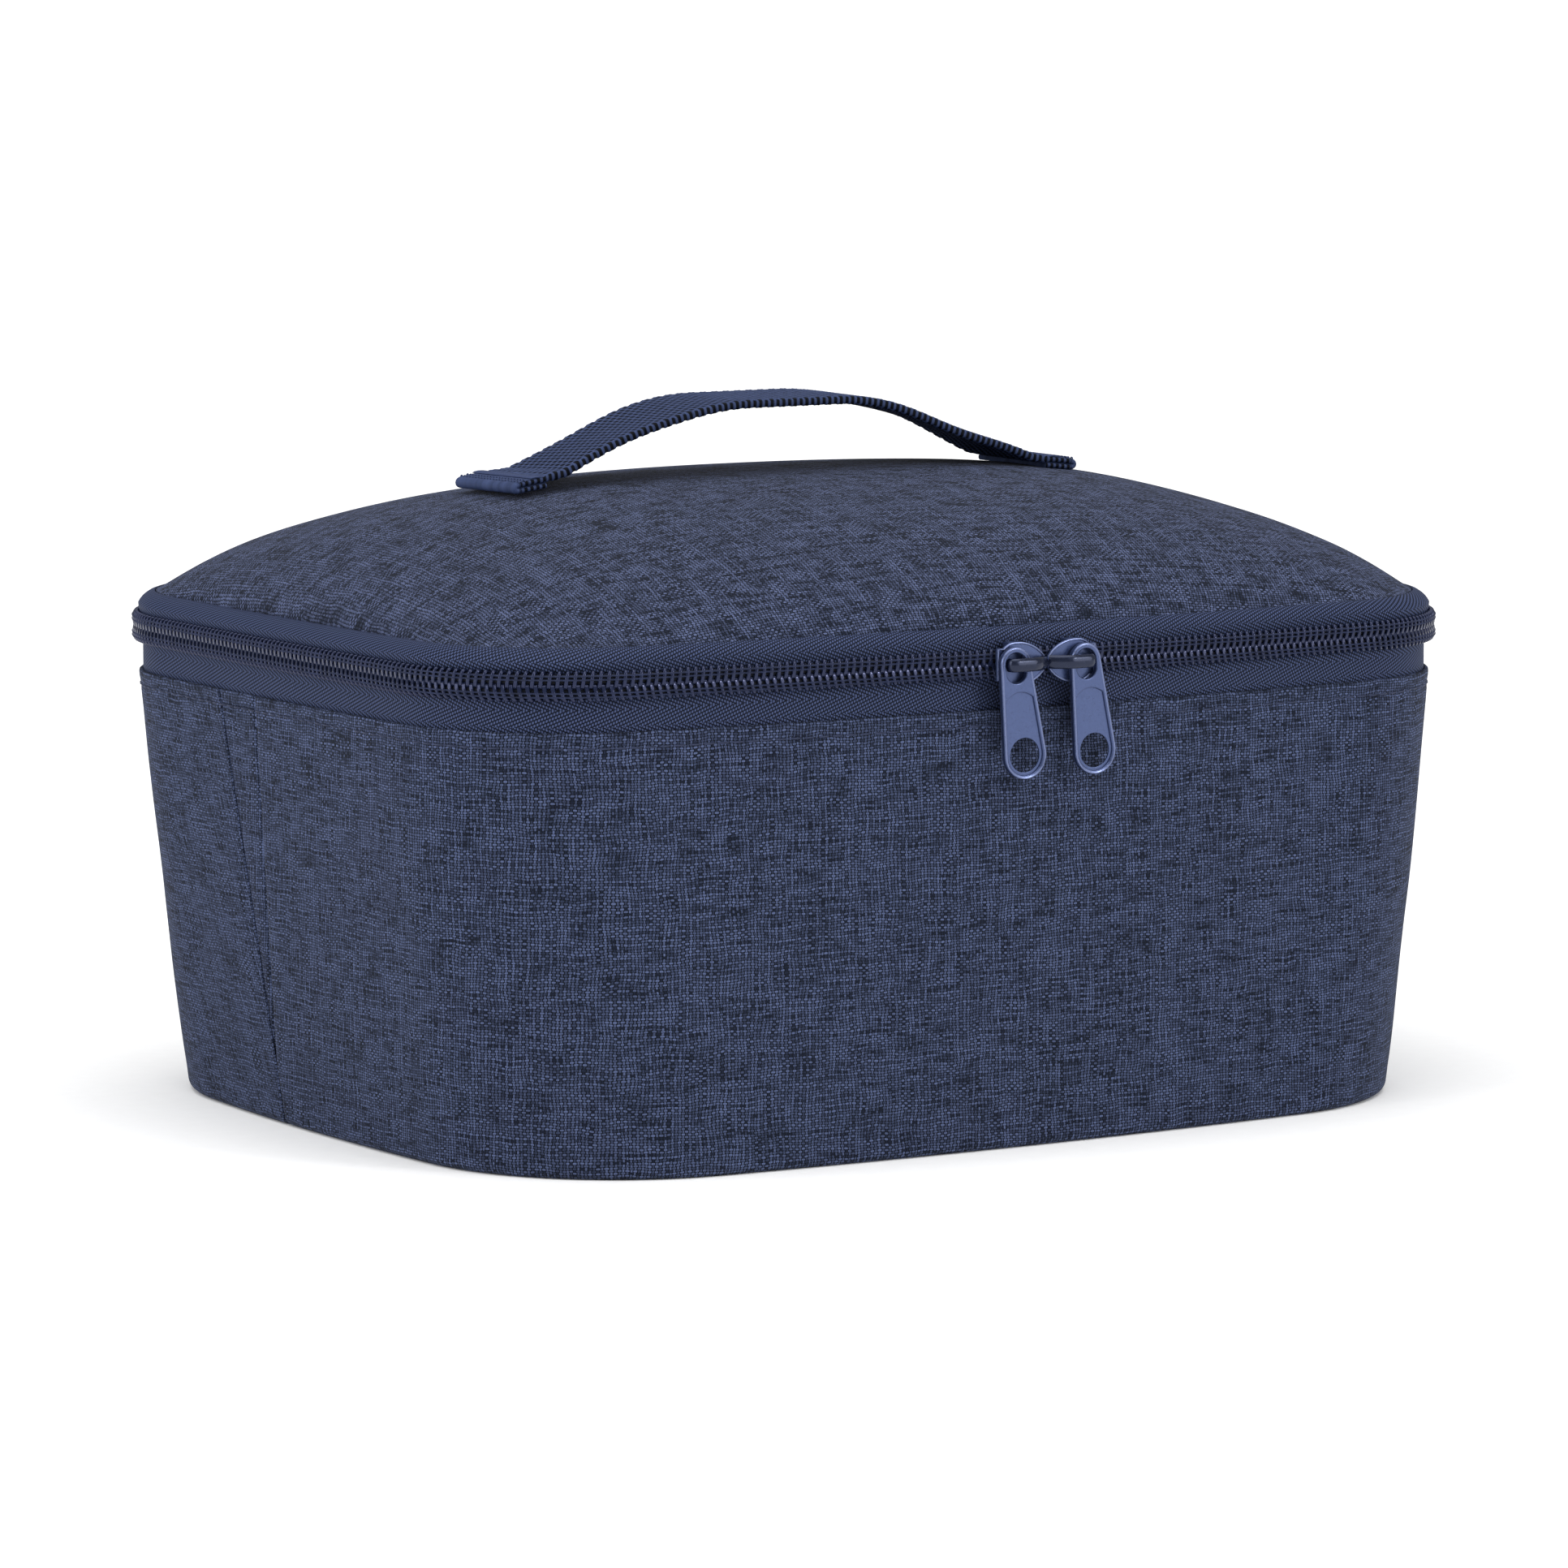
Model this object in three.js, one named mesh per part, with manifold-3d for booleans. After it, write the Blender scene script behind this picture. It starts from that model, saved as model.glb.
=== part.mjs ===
// Soft cooler bag: tapered insulated body, domed lid on a zip, webbing handle and two zip sliders.
// Millimetres, +Z up, the front towards -Y. The origin lies on the resting face, below the centre
// of the zip's outline. "Inset" always means inwards in plan from the outer face of the wall.
import * as THREE from "three";
import { mergeVertices } from "three/addons/utils/BufferGeometryUtils.js";
import Module from "manifold-3d";

const wasm = await Module();
wasm.setup();

// Plan outlines of the wall at the floor and at its top hem
const baseLength = 260;
const baseDepth = 209;
const baseFrontArc = 1091;
const baseSideArc = 753;
const baseCorner = 53;
const baseShift = -2.1;
const hemLength = 277;
const hemDepth = 211;
const hemFrontArc = 954.5;
const hemSideArc = 1734.5;
const hemCorner = 42.5;

// Heights
const hemHeight = 101.1;
const zipRise = 10.5;

// Layers of the wall, the floor and the lid
const fabric = 0.9;
const foam = 5;
const lining = 0.5;
const board = 1.5;
const layerGap = 0.3;
const domeLayerGap = 0.6;
const baseRound = 5.4;
const wallStart = 4.5;
const lidPanelDrop = 1.2;

// Side seams: a slanted seam and a pleat that takes up the taper
const seamTopY = 26.8;
const seamBottomY = 10.3;
const pleatTopY = 9;
const pleatStart = 14;
const pleatRecess = 0.3;

// Zip: two coil rows on two tapes, open at the hinge behind
const tapeThickness = 0.7;
const tapeInset = 1.2;
const tapeLap = 5;
const coilWidth = 7.2;
const coilProud = 1.5;
const coilPitch = 3.8;
const coilGroove = 0.8;
const rowGap = 1.2;
const hingeLength = 150;
const bindingThickness = 0.6;
const bindingWidth = 5.6;

// Lid: the upper tape rolls over the rim, and the panel domes up inside it
const rimRise = 8.1;
const rimRoll = 2.9;
const rimReach = 4;
const domeHeight = 28.3;
const domeEndPower = 2.6;
const domeEndSoftness = 0.55;
const domeSidePower = 2.9;
const lidEdgeGap = 0.3;

// Handle of webbing, sewn down at both ends with the ends turned under
const strapWidth = 30;
const strapThickness = 1.9;
const strapSpan = 152;
const strapShift = -3.7;
const strapRise = 16.6;
const strapTurnUnder = 14;
const strapFootPull = 26;
const strapFootLift = 14;
const strapTopPull = 24;
const patchSize = 36;
const patchThickness = 0.8;

// Sliders, seen from the front: nose towards the other slider
const meetingX = 3;
const noseGap = 0.3;
const plateLength = 13.2;
const plateWidth = 10;
const plateTailWidth = 7.4;
const plateThickness = 1.2;
const plateTail = 2;
const plateShoulder = 2.4;
const plateNose = 6;
const plateNoseFullness = 3;
const runGap = 0.3;
const flangeWidth = 0.85;
const flangeLength = 4;
const flangeDepth = 2.4;
const flangeInset = 0.1;
const flangeNoseEnd = 0.8;
const postWidth = 0.6;
const postLength = 3.4;
const postStart = 1.4;
const bridgeWidth = 3.3;
const bridgeThickness = 1.6;
const bridgeTail = 2.8;
const bridgeNose = 5;
const bridgeOverhang = 0.2;
const bridgeRound = 0.7;
const legRadius = 1.2;

// Pull tabs
const tabThickness = 1.4;
const tabTopRadius = 4.05;
const tabBottomRadius = 5.6;
const tabCentres = 20.8;
const tabEyeRadius = 2.75;
const tabEyeStretch = 1.5;
const tabHoleRadius = 3.75;
const tabHoleDrop = 0.3;
const tabRim = 1.2;
const tabRecess = 0.4;
const tabRecessStart = 8;
const tabRecessCrown = 1.6;
const tabLean = 7.5;

// Facets of the plan arcs, from the middle of the front to a corner and on to the side
const frontFacets = 4;
const cornerFacets = 5;
const sideFacets = 3;
const ringShares = [0.36, 0.6, 0.8, 0.93, 1];

// Values worked out from the ones above
const zipHeight = hemHeight + zipRise;
const coilHalf = coilWidth / 2;
const coilThickness = coilProud + tapeInset - layerGap;
const tapeBackInset = tapeInset + tapeThickness;
const lapHeight = hemHeight - tapeLap;
const foamInset = fabric + layerGap;
const liningInset = foamInset + foam + layerGap;
const innerInset = liningInset + lining;
const boardTop = fabric + layerGap + board;
const floorFoamTop = boardTop + layerGap + foam;
const floorTop = floorFoamTop + layerGap + lining;
const rimTop = zipHeight + rimRise;
const panelInset = rimReach + lidEdgeGap;
const lidBindingTop = rimTop - tapeThickness - lidPanelDrop - layerGap;
const lidCoreTrim = bindingThickness + 2 * layerGap;
const lidFoamDrop = lidPanelDrop + domeLayerGap;
const patchDrop = lidFoamDrop + foam + layerGap;
const lidLiningDrop = patchDrop + patchThickness + layerGap;
const cutReach = 400;

const finishes = {
  melange: { color: 0x3c4459, roughness: 0.85, metalness: 0 },
  tape: { color: 0x313a50, roughness: 0.85, metalness: 0 },
  coil: { color: 0x2b3348, roughness: 0.35, metalness: 0 },
  webbing: { color: 0x3a4560, roughness: 0.85, metalness: 0 },
  foam: { color: 0xe8e6e0, roughness: 0.95, metalness: 0 },
  lining: { color: 0xb9bdc2, roughness: 0.35, metalness: 0.4 },
  board: { color: 0x2a2c30, roughness: 0.6, metalness: 0 },
  metal: { color: 0x5d6b8e, roughness: 0.35, metalness: 0.7 },
};

// Meshes and solids

function solidOf(geometry) {
  const bare = geometry.clone();
  bare.deleteAttribute("normal");
  bare.deleteAttribute("uv");
  const merged = mergeVertices(bare, 1e-4);
  return new wasm.Manifold(
    new wasm.Mesh({
      numProp: 3,
      vertProperties: new Float32Array(merged.attributes.position.array),
      triVerts: new Uint32Array(merged.index.array),
    }),
  );
}

function geometryOf(solid) {
  const mesh = solid.getMesh();
  const geometry = new THREE.BufferGeometry();
  geometry.setAttribute("position", new THREE.BufferAttribute(mesh.vertProperties, 3));
  geometry.setIndex(new THREE.BufferAttribute(mesh.triVerts, 1));
  return geometry;
}

function piece(name, geometry, finish) {
  const mesh = new THREE.Mesh(geometry, new THREE.MeshStandardMaterial(finish));
  mesh.name = name;
  return mesh;
}

// Joins rings of equal count by a skin of quads. Without caps the last ring joins the first.
// The later half of the bands is split along the other diagonal, so both faces of a shell are alike.
function loft(rings, caps) {
  const count = rings[0].length;
  const points = rings.flat();
  const index = [];
  const last = caps ? rings.length - 1 : rings.length;
  for (let k = 0; k < last; k++) {
    const low = k * count;
    const high = ((k + 1) % rings.length) * count;
    for (let i = 0; i < count; i++) {
      const j = (i + 1) % count;
      const [a, b, c, d] = [low + i, low + j, high + j, high + i];
      index.push(...(k < last / 2 ? [a, b, c, a, c, d] : [a, b, d, b, c, d]));
    }
  }
  if (caps) {
    const top = (rings.length - 1) * count;
    const start = points.push(caps[0]) - 1;
    const end = points.push(caps[1]) - 1;
    for (let i = 0; i < count; i++) {
      const j = (i + 1) % count;
      index.push(start, j, i);
      index.push(end, top + i, top + j);
    }
  }
  return new THREE.BufferGeometry().setFromPoints(points).setIndex(index);
}

// A flat shape drawn in (first, second) coordinates and pushed along the axis that is left
function prism(shape, depth, place, curveSegments = 8) {
  const geometry = new THREE.ExtrudeGeometry(shape, { depth, bevelEnabled: false, curveSegments });
  return geometry.applyMatrix4(place);
}

const frame = (first, second, third) => new THREE.Matrix4().makeBasis(first, second, third);
const alongX = () => new THREE.Vector3(1, 0, 0);
const alongY = () => new THREE.Vector3(0, 1, 0);
const alongZ = () => new THREE.Vector3(0, 0, 1);

// Shapes drawn in YZ are pushed along X, and shapes drawn in XZ towards the front
const sideways = frame(alongY(), alongZ(), alongX()).setPosition(-cutReach, 0, 0);
const forwards = (start) => frame(alongX(), alongZ(), alongY().negate()).setPosition(0, -start, 0);

const shapeOf = (corners) => new THREE.Shape(corners.map(([x, y]) => new THREE.Vector2(x, y)));
const box = (x0, x1, y0, y1, z0, z1) =>
  new THREE.BoxGeometry(x1 - x0, y1 - y0, z1 - z0).translate((x0 + x1) / 2, (y0 + y1) / 2, (z0 + z1) / 2);

// Plan outline

function planAt(z) {
  const share = Math.min(Math.max(z / hemHeight, 0), 1);
  const between = (low, high) => THREE.MathUtils.lerp(low, high, share);
  return {
    length: between(baseLength, hemLength),
    depth: between(baseDepth, hemDepth),
    frontArc: between(baseFrontArc, hemFrontArc),
    sideArc: between(baseSideArc, hemSideArc),
    corner: between(baseCorner, hemCorner),
    shift: between(baseShift, 0),
  };
}

// Centres and angles of the arcs round the right half of the front, which touch without a kink
function arcsOf(plan) {
  const front = new THREE.Vector2(0, plan.frontArc - plan.depth / 2);
  const side = new THREE.Vector2(plan.length / 2 - plan.sideArc, 0);
  const toFront = plan.frontArc - plan.corner;
  const toSide = plan.sideArc - plan.corner;
  const between = side.clone().sub(front);
  const apart = between.length();
  const along = (toFront ** 2 - toSide ** 2 + apart ** 2) / (2 * apart);
  const across = Math.sqrt(toFront ** 2 - along ** 2);
  const unit = between.normalize();
  const corner = new THREE.Vector2(-unit.y, unit.x).multiplyScalar(across);
  corner.addScaledVector(unit, along).add(front);
  const frontEnd = Math.atan2(corner.y - front.y, corner.x - front.x);
  const sideEnd = Math.atan2(corner.y - side.y, corner.x - side.x);
  return { front, side, corner, frontEnd, sideEnd };
}

// The closed outline as arcs, anticlockwise from the middle of the front
function outlineArcs(z, inset) {
  const plan = planAt(z);
  const { front, side, corner, frontEnd, sideEnd } = arcsOf(plan);
  const arcs = [];
  const add = (x, y, radius, from, to, facets) => {
    const r = radius - inset;
    arcs.push({ curve: new THREE.EllipseCurve(x, y + plan.shift, r, r, from, to, false), facets });
  };
  const { PI } = Math;
  add(0, front.y, plan.frontArc, -PI / 2, frontEnd, frontFacets);
  add(corner.x, corner.y, plan.corner, frontEnd, sideEnd, cornerFacets);
  add(side.x, 0, plan.sideArc, sideEnd, -sideEnd, 2 * sideFacets);
  add(corner.x, -corner.y, plan.corner, -sideEnd, -frontEnd, cornerFacets);
  add(0, -front.y, plan.frontArc, -frontEnd, PI + frontEnd, 2 * frontFacets);
  add(-corner.x, -corner.y, plan.corner, PI + frontEnd, PI + sideEnd, cornerFacets);
  add(-side.x, 0, plan.sideArc, PI + sideEnd, PI - sideEnd, 2 * sideFacets);
  add(-corner.x, corner.y, plan.corner, PI - sideEnd, PI - frontEnd, cornerFacets);
  add(0, front.y, plan.frontArc, PI - frontEnd, PI * 1.5, frontFacets);
  return arcs;
}

function ring(z, inset) {
  const points = outlineArcs(z, inset).flatMap(({ curve, facets }) => curve.getPoints(facets).slice(0, -1));
  return points.map((p) => new THREE.Vector3(p.x, p.y, z));
}

// A ring-shaped piece from its profile, listed upwards outside and downwards inside
const hoop = (profile) => loft(profile.map(([inset, z]) => ring(z, inset)));

// Quarter of an oval in a profile, from straight above or below its centre outwards to the wall
function quarterRound(inset, z, reach, rise, steps) {
  return Array.from({ length: steps + 1 }, (_, k) => {
    const turn = (k / steps) * (Math.PI / 2);
    return [inset - reach * Math.sin(turn), z + rise * Math.cos(turn)];
  });
}

function plate(inset, low, high) {
  const centre = (z) => new THREE.Vector3(0, planAt(z).shift, z);
  return loft([ring(low, inset), ring(high, inset)], [centre(low), centre(high)]);
}

// Wall fabric, cut along the side seams

const seamY = (z) => THREE.MathUtils.mapLinear(z, 0, hemHeight, seamBottomY, seamTopY);
const pleatY = (z) => THREE.MathUtils.mapLinear(z, pleatStart, hemHeight, seamY(pleatStart), pleatTopY);

function wallSkin(inset) {
  return hoop([
    [inset, wallStart],
    [inset, hemHeight],
    [fabric, hemHeight],
    [fabric, wallStart],
  ]);
}

function cutSkin(inset, region) {
  const cutter = solidOf(prism(shapeOf(region), 2 * cutReach, sideways));
  return solidOf(wallSkin(inset)).intersect(cutter);
}

function wallPanels() {
  const half = layerGap / 2;
  const top = hemHeight + layerGap;
  const front = cutSkin(0, [
    [-cutReach, 0],
    [seamY(0) - half, 0],
    [seamY(pleatStart) - half, pleatStart],
    [pleatY(top) - half, top],
    [-cutReach, top],
  ]);
  const back = cutSkin(0, [
    [seamY(0) + half, 0],
    [cutReach, 0],
    [cutReach, top],
    [seamY(top) + half, top],
  ]);
  const start = pleatStart + (layerGap * (hemHeight - pleatStart)) / (seamTopY - pleatTopY);
  const pleats = cutSkin(pleatRecess, [
    [seamY(start) - half, start],
    [seamY(top) - half, top],
    [pleatY(top) + half, top],
  ]);
  const left = pleats.intersect(solidOf(box(-cutReach, 0, -cutReach, cutReach, 0, cutReach)));
  const right = pleats.intersect(solidOf(box(0, cutReach, -cutReach, cutReach, 0, cutReach)));
  return [
    piece("wall_front_panel", geometryOf(front), finishes.melange),
    piece("wall_back_panel", geometryOf(back), finishes.melange),
    piece("side_pleat_left", geometryOf(left), finishes.melange),
    piece("side_pleat_right", geometryOf(right), finishes.melange),
  ];
}

// Insulation and lining

function wallCore() {
  const foamTop = lapHeight - layerGap;
  const foamRing = hoop([
    [foamInset, wallStart],
    [foamInset, foamTop],
    [foamInset + foam, foamTop],
    [foamInset + foam, wallStart],
  ]);
  // The lining turns outwards over the foam and meets the zip tape
  const lip = tapeBackInset + layerGap;
  const liningRing = hoop([
    [liningInset, floorTop + layerGap],
    [liningInset, lapHeight],
    [lip, lapHeight],
    [lip, lapHeight + lining],
    [innerInset, lapHeight + lining],
    [innerInset, floorTop + layerGap],
  ]);
  const bindingBase = lapHeight + lining + layerGap;
  const bindingInset = lip + bindingThickness;
  const binding = hoop([
    [lip, bindingBase],
    [lip, hemHeight],
    [lip, bindingBase + bindingWidth],
    [bindingInset, bindingBase + bindingWidth],
    [bindingInset, hemHeight],
    [bindingInset, bindingBase],
  ]);
  return [
    piece("wall_foam", foamRing, finishes.foam),
    piece("wall_lining", liningRing, finishes.lining),
    piece("wall_rim_binding", binding, finishes.tape),
  ];
}

// Floor of the bag: an outer panel whose edge turns up, a stiffener, foam and lining

function basePanel() {
  const edge = wallStart - layerGap;
  const outer = quarterRound(baseRound, edge, baseRound, -edge, 3);
  const inner = quarterRound(baseRound, edge, baseRound - fabric, fabric - edge, 3);
  const rings = [...outer, ...inner.reverse()].map(([inset, z]) => ring(z, inset));
  const centre = (z) => new THREE.Vector3(0, baseShift, z);
  return piece("base_panel", loft(rings, [centre(0), centre(fabric)]), finishes.melange);
}

function baseCore() {
  const floorInset = innerInset + layerGap;
  return [
    piece("base_board", plate(baseRound, fabric + layerGap, boardTop), finishes.board),
    piece("base_foam", plate(liningInset, boardTop + layerGap, floorFoamTop), finishes.foam),
    piece("base_lining", plate(floorInset, floorTop - lining, floorTop), finishes.lining),
  ];
}

// Zip tapes and the fabric hinge that takes their place behind

function lowerStrip() {
  const top = zipHeight - rowGap / 2;
  return hoop([
    [tapeInset, lapHeight],
    [tapeInset, hemHeight],
    [tapeInset, top],
    [tapeBackInset, top],
    [tapeBackInset, hemHeight],
    [tapeBackInset, lapHeight],
  ]);
}

function upperStrip() {
  const bottom = zipHeight + rowGap / 2;
  const shoulder = rimTop - rimRoll;
  const outer = quarterRound(rimReach, shoulder, rimReach - tapeInset, rimRoll, 3);
  const inner = quarterRound(rimReach, shoulder, rimReach - tapeBackInset, rimRoll - tapeThickness, 3);
  return hoop([[tapeInset, bottom], ...outer.reverse(), ...inner, [tapeBackInset, bottom]]);
}

// The stretch behind the hinge's ends is hinge band, and the rest is zip tape
function tapeAndHinge(strip, tapeName, hingeName) {
  const whole = solidOf(strip);
  const half = hingeLength / 2;
  const window = (reach) => solidOf(box(-reach, reach, 0, cutReach, 0, cutReach));
  return [
    piece(tapeName, geometryOf(whole.subtract(window(half + layerGap))), finishes.tape),
    piece(hingeName, geometryOf(whole.intersect(window(half))), finishes.melange),
  ];
}

// Coil row: a strip that follows the rim, grooved across its outer face at every turn that is drawn

function coilRow(low, high) {
  const path = new THREE.CurvePath();
  outlineArcs(zipHeight, -coilProud).forEach(({ curve }) => path.add(curve));
  const whole = path.getLength();
  const backMiddle = whole / 2;
  const skipped = hingeLength / 2 + layerGap;
  const turns = Math.round((whole - 2 * skipped) / coilPitch);
  const inner = [];
  const outer = [];
  for (let k = 0; k <= 2 * turns; k++) {
    const along = (backMiddle + skipped + ((whole - 2 * skipped) * k) / (2 * turns)) % whole;
    const point = path.getPoint(along / whole);
    const tangent = path.getTangent(along / whole);
    const inwards = new THREE.Vector2(-tangent.y, tangent.x);
    const groove = k % 2 ? coilGroove : 0;
    outer.push(point.clone().addScaledVector(inwards, groove));
    if (k % 2 === 0) inner.push(point.clone().addScaledVector(inwards, coilThickness));
  }
  return grooveStrip(inner, outer, low, high);
}

// Closed strip between a plain inner line and an outer line with twice the steps
function grooveStrip(inner, outer, low, high) {
  const lines = [inner, outer].flatMap((line) => [low, high].map((z) => line.map((p) => [p.x, p.y, z])));
  const points = lines.flat().map(([x, y, z]) => new THREE.Vector3(x, y, z));
  const n = inner.length;
  const m = outer.length;
  const innerLow = 0;
  const innerHigh = n;
  const outerLow = 2 * n;
  const outerHigh = 2 * n + m;
  const index = [];
  const quad = (a, b, c, d) => index.push(a, b, c, a, c, d);
  for (let j = 0; j < n - 1; j++) {
    const k = 2 * j;
    quad(innerLow + j + 1, innerLow + j, innerHigh + j, innerHigh + j + 1);
    for (const s of [k, k + 1]) quad(outerLow + s, outerLow + s + 1, outerHigh + s + 1, outerHigh + s);
    for (const [i, o, up] of [[innerHigh, outerHigh, true], [innerLow, outerLow, false]]) {
      const fan = [
        [i + j, o + k, o + k + 1],
        [i + j, o + k + 1, i + j + 1],
        [i + j + 1, o + k + 1, o + k + 2],
      ];
      fan.forEach(([a, b, c]) => (up ? index.push(a, b, c) : index.push(a, c, b)));
    }
  }
  quad(innerLow, outerLow, outerHigh, innerHigh);
  quad(outerLow + m - 1, innerLow + n - 1, innerHigh + n - 1, outerHigh + m - 1);
  return new THREE.BufferGeometry().setFromPoints(points).setIndex(index);
}

function zip() {
  const lowTop = zipHeight - rowGap / 2;
  const highBottom = zipHeight + rowGap / 2;
  const lower = coilRow(zipHeight - coilHalf, lowTop);
  const upper = coilRow(highBottom, zipHeight + coilHalf);
  return {
    base: [
      ...tapeAndHinge(lowerStrip(), "lower_zip_tape", "hinge_band_lower"),
      piece("lower_zip_coil", lower, finishes.coil),
    ],
    lid: [
      ...tapeAndHinge(upperStrip(), "upper_zip_tape", "hinge_band_upper"),
      piece("upper_zip_coil", upper, finishes.coil),
    ],
  };
}

// Lid

// Reach of the lid panel's outline from the middle, along X at one y and along Y at one x
const lidOutline = ring(rimTop, panelInset);

function reach(at, along, across) {
  let best = 0;
  lidOutline.forEach((a, i) => {
    const b = lidOutline[(i + 1) % lidOutline.length];
    const span = b[across] - a[across];
    const share = (at - a[across]) / span;
    if (share >= 0 && share <= 1) best = Math.max(best, a[along] + (b[along] - a[along]) * share);
  });
  return best;
}

// Height of the outer face of the lid panel above its edge
function dome(x, y) {
  const u = Math.min(Math.abs(x) / Math.max(reach(y, "x", "y"), 1), 1);
  const v = Math.min(Math.abs(y) / Math.max(reach(x, "y", "x"), 1), 1);
  return domeHeight * (1 - u ** domeEndPower) ** domeEndSoftness * (1 - v ** domeSidePower);
}

const domeRings = ringShares.map((share) =>
  lidOutline.map((p) => {
    const [x, y] = [p.x * share, p.y * share];
    return new THREE.Vector3(x, y, rimTop + dome(x, y));
  }),
);

// A layer of the lid: its edge is trimmed back from the panel's, and it lies a drop below its face
function domeShell(trim, drop, thickness) {
  const [beforeEdge, edge] = domeRings.slice(-2);
  const trimmed = edge.map((p, i) => p.clone().lerp(beforeEdge[i], trim / p.distanceTo(beforeEdge[i])));
  const face = [...domeRings.slice(0, -1), trimmed];
  const sunk = (points, below) => points.map((p) => new THREE.Vector3(p.x, p.y, p.z - below));
  const lowered = (below) => face.map((points) => sunk(points, below));
  const peak = (below) => new THREE.Vector3(0, 0, rimTop + domeHeight - below);
  const bottom = drop + thickness;
  return loft([...lowered(bottom), ...lowered(drop).reverse()], [peak(bottom), peak(drop)]);
}

function lidLayers() {
  const bindingBottom = zipHeight + rowGap / 2;
  const binding = hoop([
    [panelInset, bindingBottom],
    [panelInset, lidBindingTop],
    [panelInset + bindingThickness, lidBindingTop],
    [panelInset + bindingThickness, bindingBottom],
  ]);
  return [
    piece("lid_panel", domeShell(0, 0, lidPanelDrop), finishes.melange),
    piece("lid_foam", domeShell(lidCoreTrim, lidFoamDrop, foam), finishes.foam),
    piece("lid_lining", domeShell(lidCoreTrim, lidLiningDrop, lining), finishes.lining),
    piece("lid_rim_binding", binding, finishes.tape),
  ];
}

// Handle

// Side view of the strap's middle line, from the turned-under left end over the arch to the right
function strapLine() {
  const layer = strapThickness + layerGap;
  const half = strapSpan / 2 - layer / 2;
  const bottom = (x) => rimTop + dome(x + strapShift, 0) + layerGap + strapThickness / 2;
  const foot = half - strapTurnUnder;
  const crown = bottom(0) + strapRise;
  const start = bottom(foot) + layer;
  const arch = new THREE.CubicBezierCurve(
    new THREE.Vector2(foot, start),
    new THREE.Vector2(foot - strapFootPull, start + strapFootLift),
    new THREE.Vector2(strapTopPull, crown),
    new THREE.Vector2(0, crown),
  );
  const fold = [-90, -30, 30, 90].map((degrees) => {
    const turn = THREE.MathUtils.degToRad(degrees);
    const height = bottom(half) + layer / 2 + (Math.sin(turn) * layer) / 2;
    return new THREE.Vector2(half + (Math.cos(turn) * layer) / 2, height);
  });
  const right = [new THREE.Vector2(foot, bottom(foot)), ...fold, ...arch.getPoints(14)];
  const left = right.slice(0, -1).map((p) => new THREE.Vector2(-p.x, p.y)).reverse();
  return [...right, ...left];
}

function strap() {
  const line = strapLine();
  const offset = (side) =>
    line.map((p, i) => {
      const before = line[Math.max(i - 1, 0)];
      const after = line[Math.min(i + 1, line.length - 1)];
      const along = after.clone().sub(before).normalize();
      const normal = new THREE.Vector2(-along.y, along.x);
      return p.clone().addScaledVector(normal, (side * strapThickness) / 2);
    });
  const shape = new THREE.Shape([...offset(-1), ...offset(1).reverse()]);
  const geometry = prism(shape, strapWidth, forwards(-strapWidth / 2));
  return piece("handle_strap", geometry.translate(strapShift, 0, 0), finishes.webbing);
}

// Patches inside the lid that back the handle's stitching, between the foam and the lining
function handlePatch(name, side) {
  const middle = side * (strapSpan / 2 - strapTurnUnder / 2) + strapShift;
  const half = patchSize / 2;
  const shell = domeShell(lidCoreTrim, patchDrop, patchThickness);
  const block = solidOf(box(middle - half, middle + half, -half, half, 0, cutReach));
  return piece(name, geometryOf(solidOf(shell).intersect(block)), finishes.webbing);
}

// Sliders and pull tabs, drawn round the slider's middle with the nose towards +X times side

function plateShape(side) {
  const tail = -plateLength / 2;
  const wide = plateWidth / 2;
  const narrow = plateTailWidth / 2;
  const waist = tail + plateTail;
  const shoulder = waist + plateShoulder;
  const bend = (waist + shoulder) / 2;
  const tip = plateLength / 2;
  const cheek = tip - plateNose;
  const full = cheek + plateNoseFullness;
  const x = (value) => side * value;
  const shape = new THREE.Shape();
  shape.moveTo(x(tail), -narrow);
  shape.lineTo(x(waist), -narrow);
  shape.quadraticCurveTo(x(bend), -wide, x(shoulder), -wide);
  shape.lineTo(x(cheek), -wide);
  shape.bezierCurveTo(x(full), -wide, x(tip), -wide / 2, x(tip), 0);
  shape.bezierCurveTo(x(tip), wide / 2, x(full), wide, x(cheek), wide);
  shape.lineTo(x(shoulder), wide);
  shape.quadraticCurveTo(x(bend), wide, x(waist), narrow);
  shape.lineTo(x(tail), narrow);
  return shape;
}

// Depths are counted outwards from the outer face of the coil
function sliderSolid(side) {
  const front = runGap + plateThickness;
  const behind = coilProud + tapeBackInset + runGap;
  const span = (a, b) => [Math.min(side * a, side * b), Math.max(side * a, side * b)];
  const block = (u0, u1, z0, z1, near, far) => solidOf(box(...span(u0, u1), -far, -near, z0, z1));
  const face = solidOf(prism(plateShape(side), plateThickness, forwards(runGap), 5));
  const back = solidOf(prism(plateShape(side), plateThickness, forwards(-behind - plateThickness), 5));
  const overlap = plateThickness / 2;
  const postEnd = postStart + postLength;
  const halfPost = postWidth / 2;
  const post = block(postStart, postEnd, -halfPost, halfPost, -behind - overlap, front - overlap);
  let solid = face.add(back).add(post);
  const outside = plateWidth / 2 - flangeInset;
  const flangeStart = flangeNoseEnd - flangeLength;
  for (const up of [-1, 1]) {
    const z = [up * outside, up * (outside - flangeWidth)].sort((a, b) => a - b);
    solid = solid.add(block(flangeStart, flangeNoseEnd, ...z, runGap - flangeDepth, front - overlap));
  }
  return solid.add(bridge(side, front, overlap));
}

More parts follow.
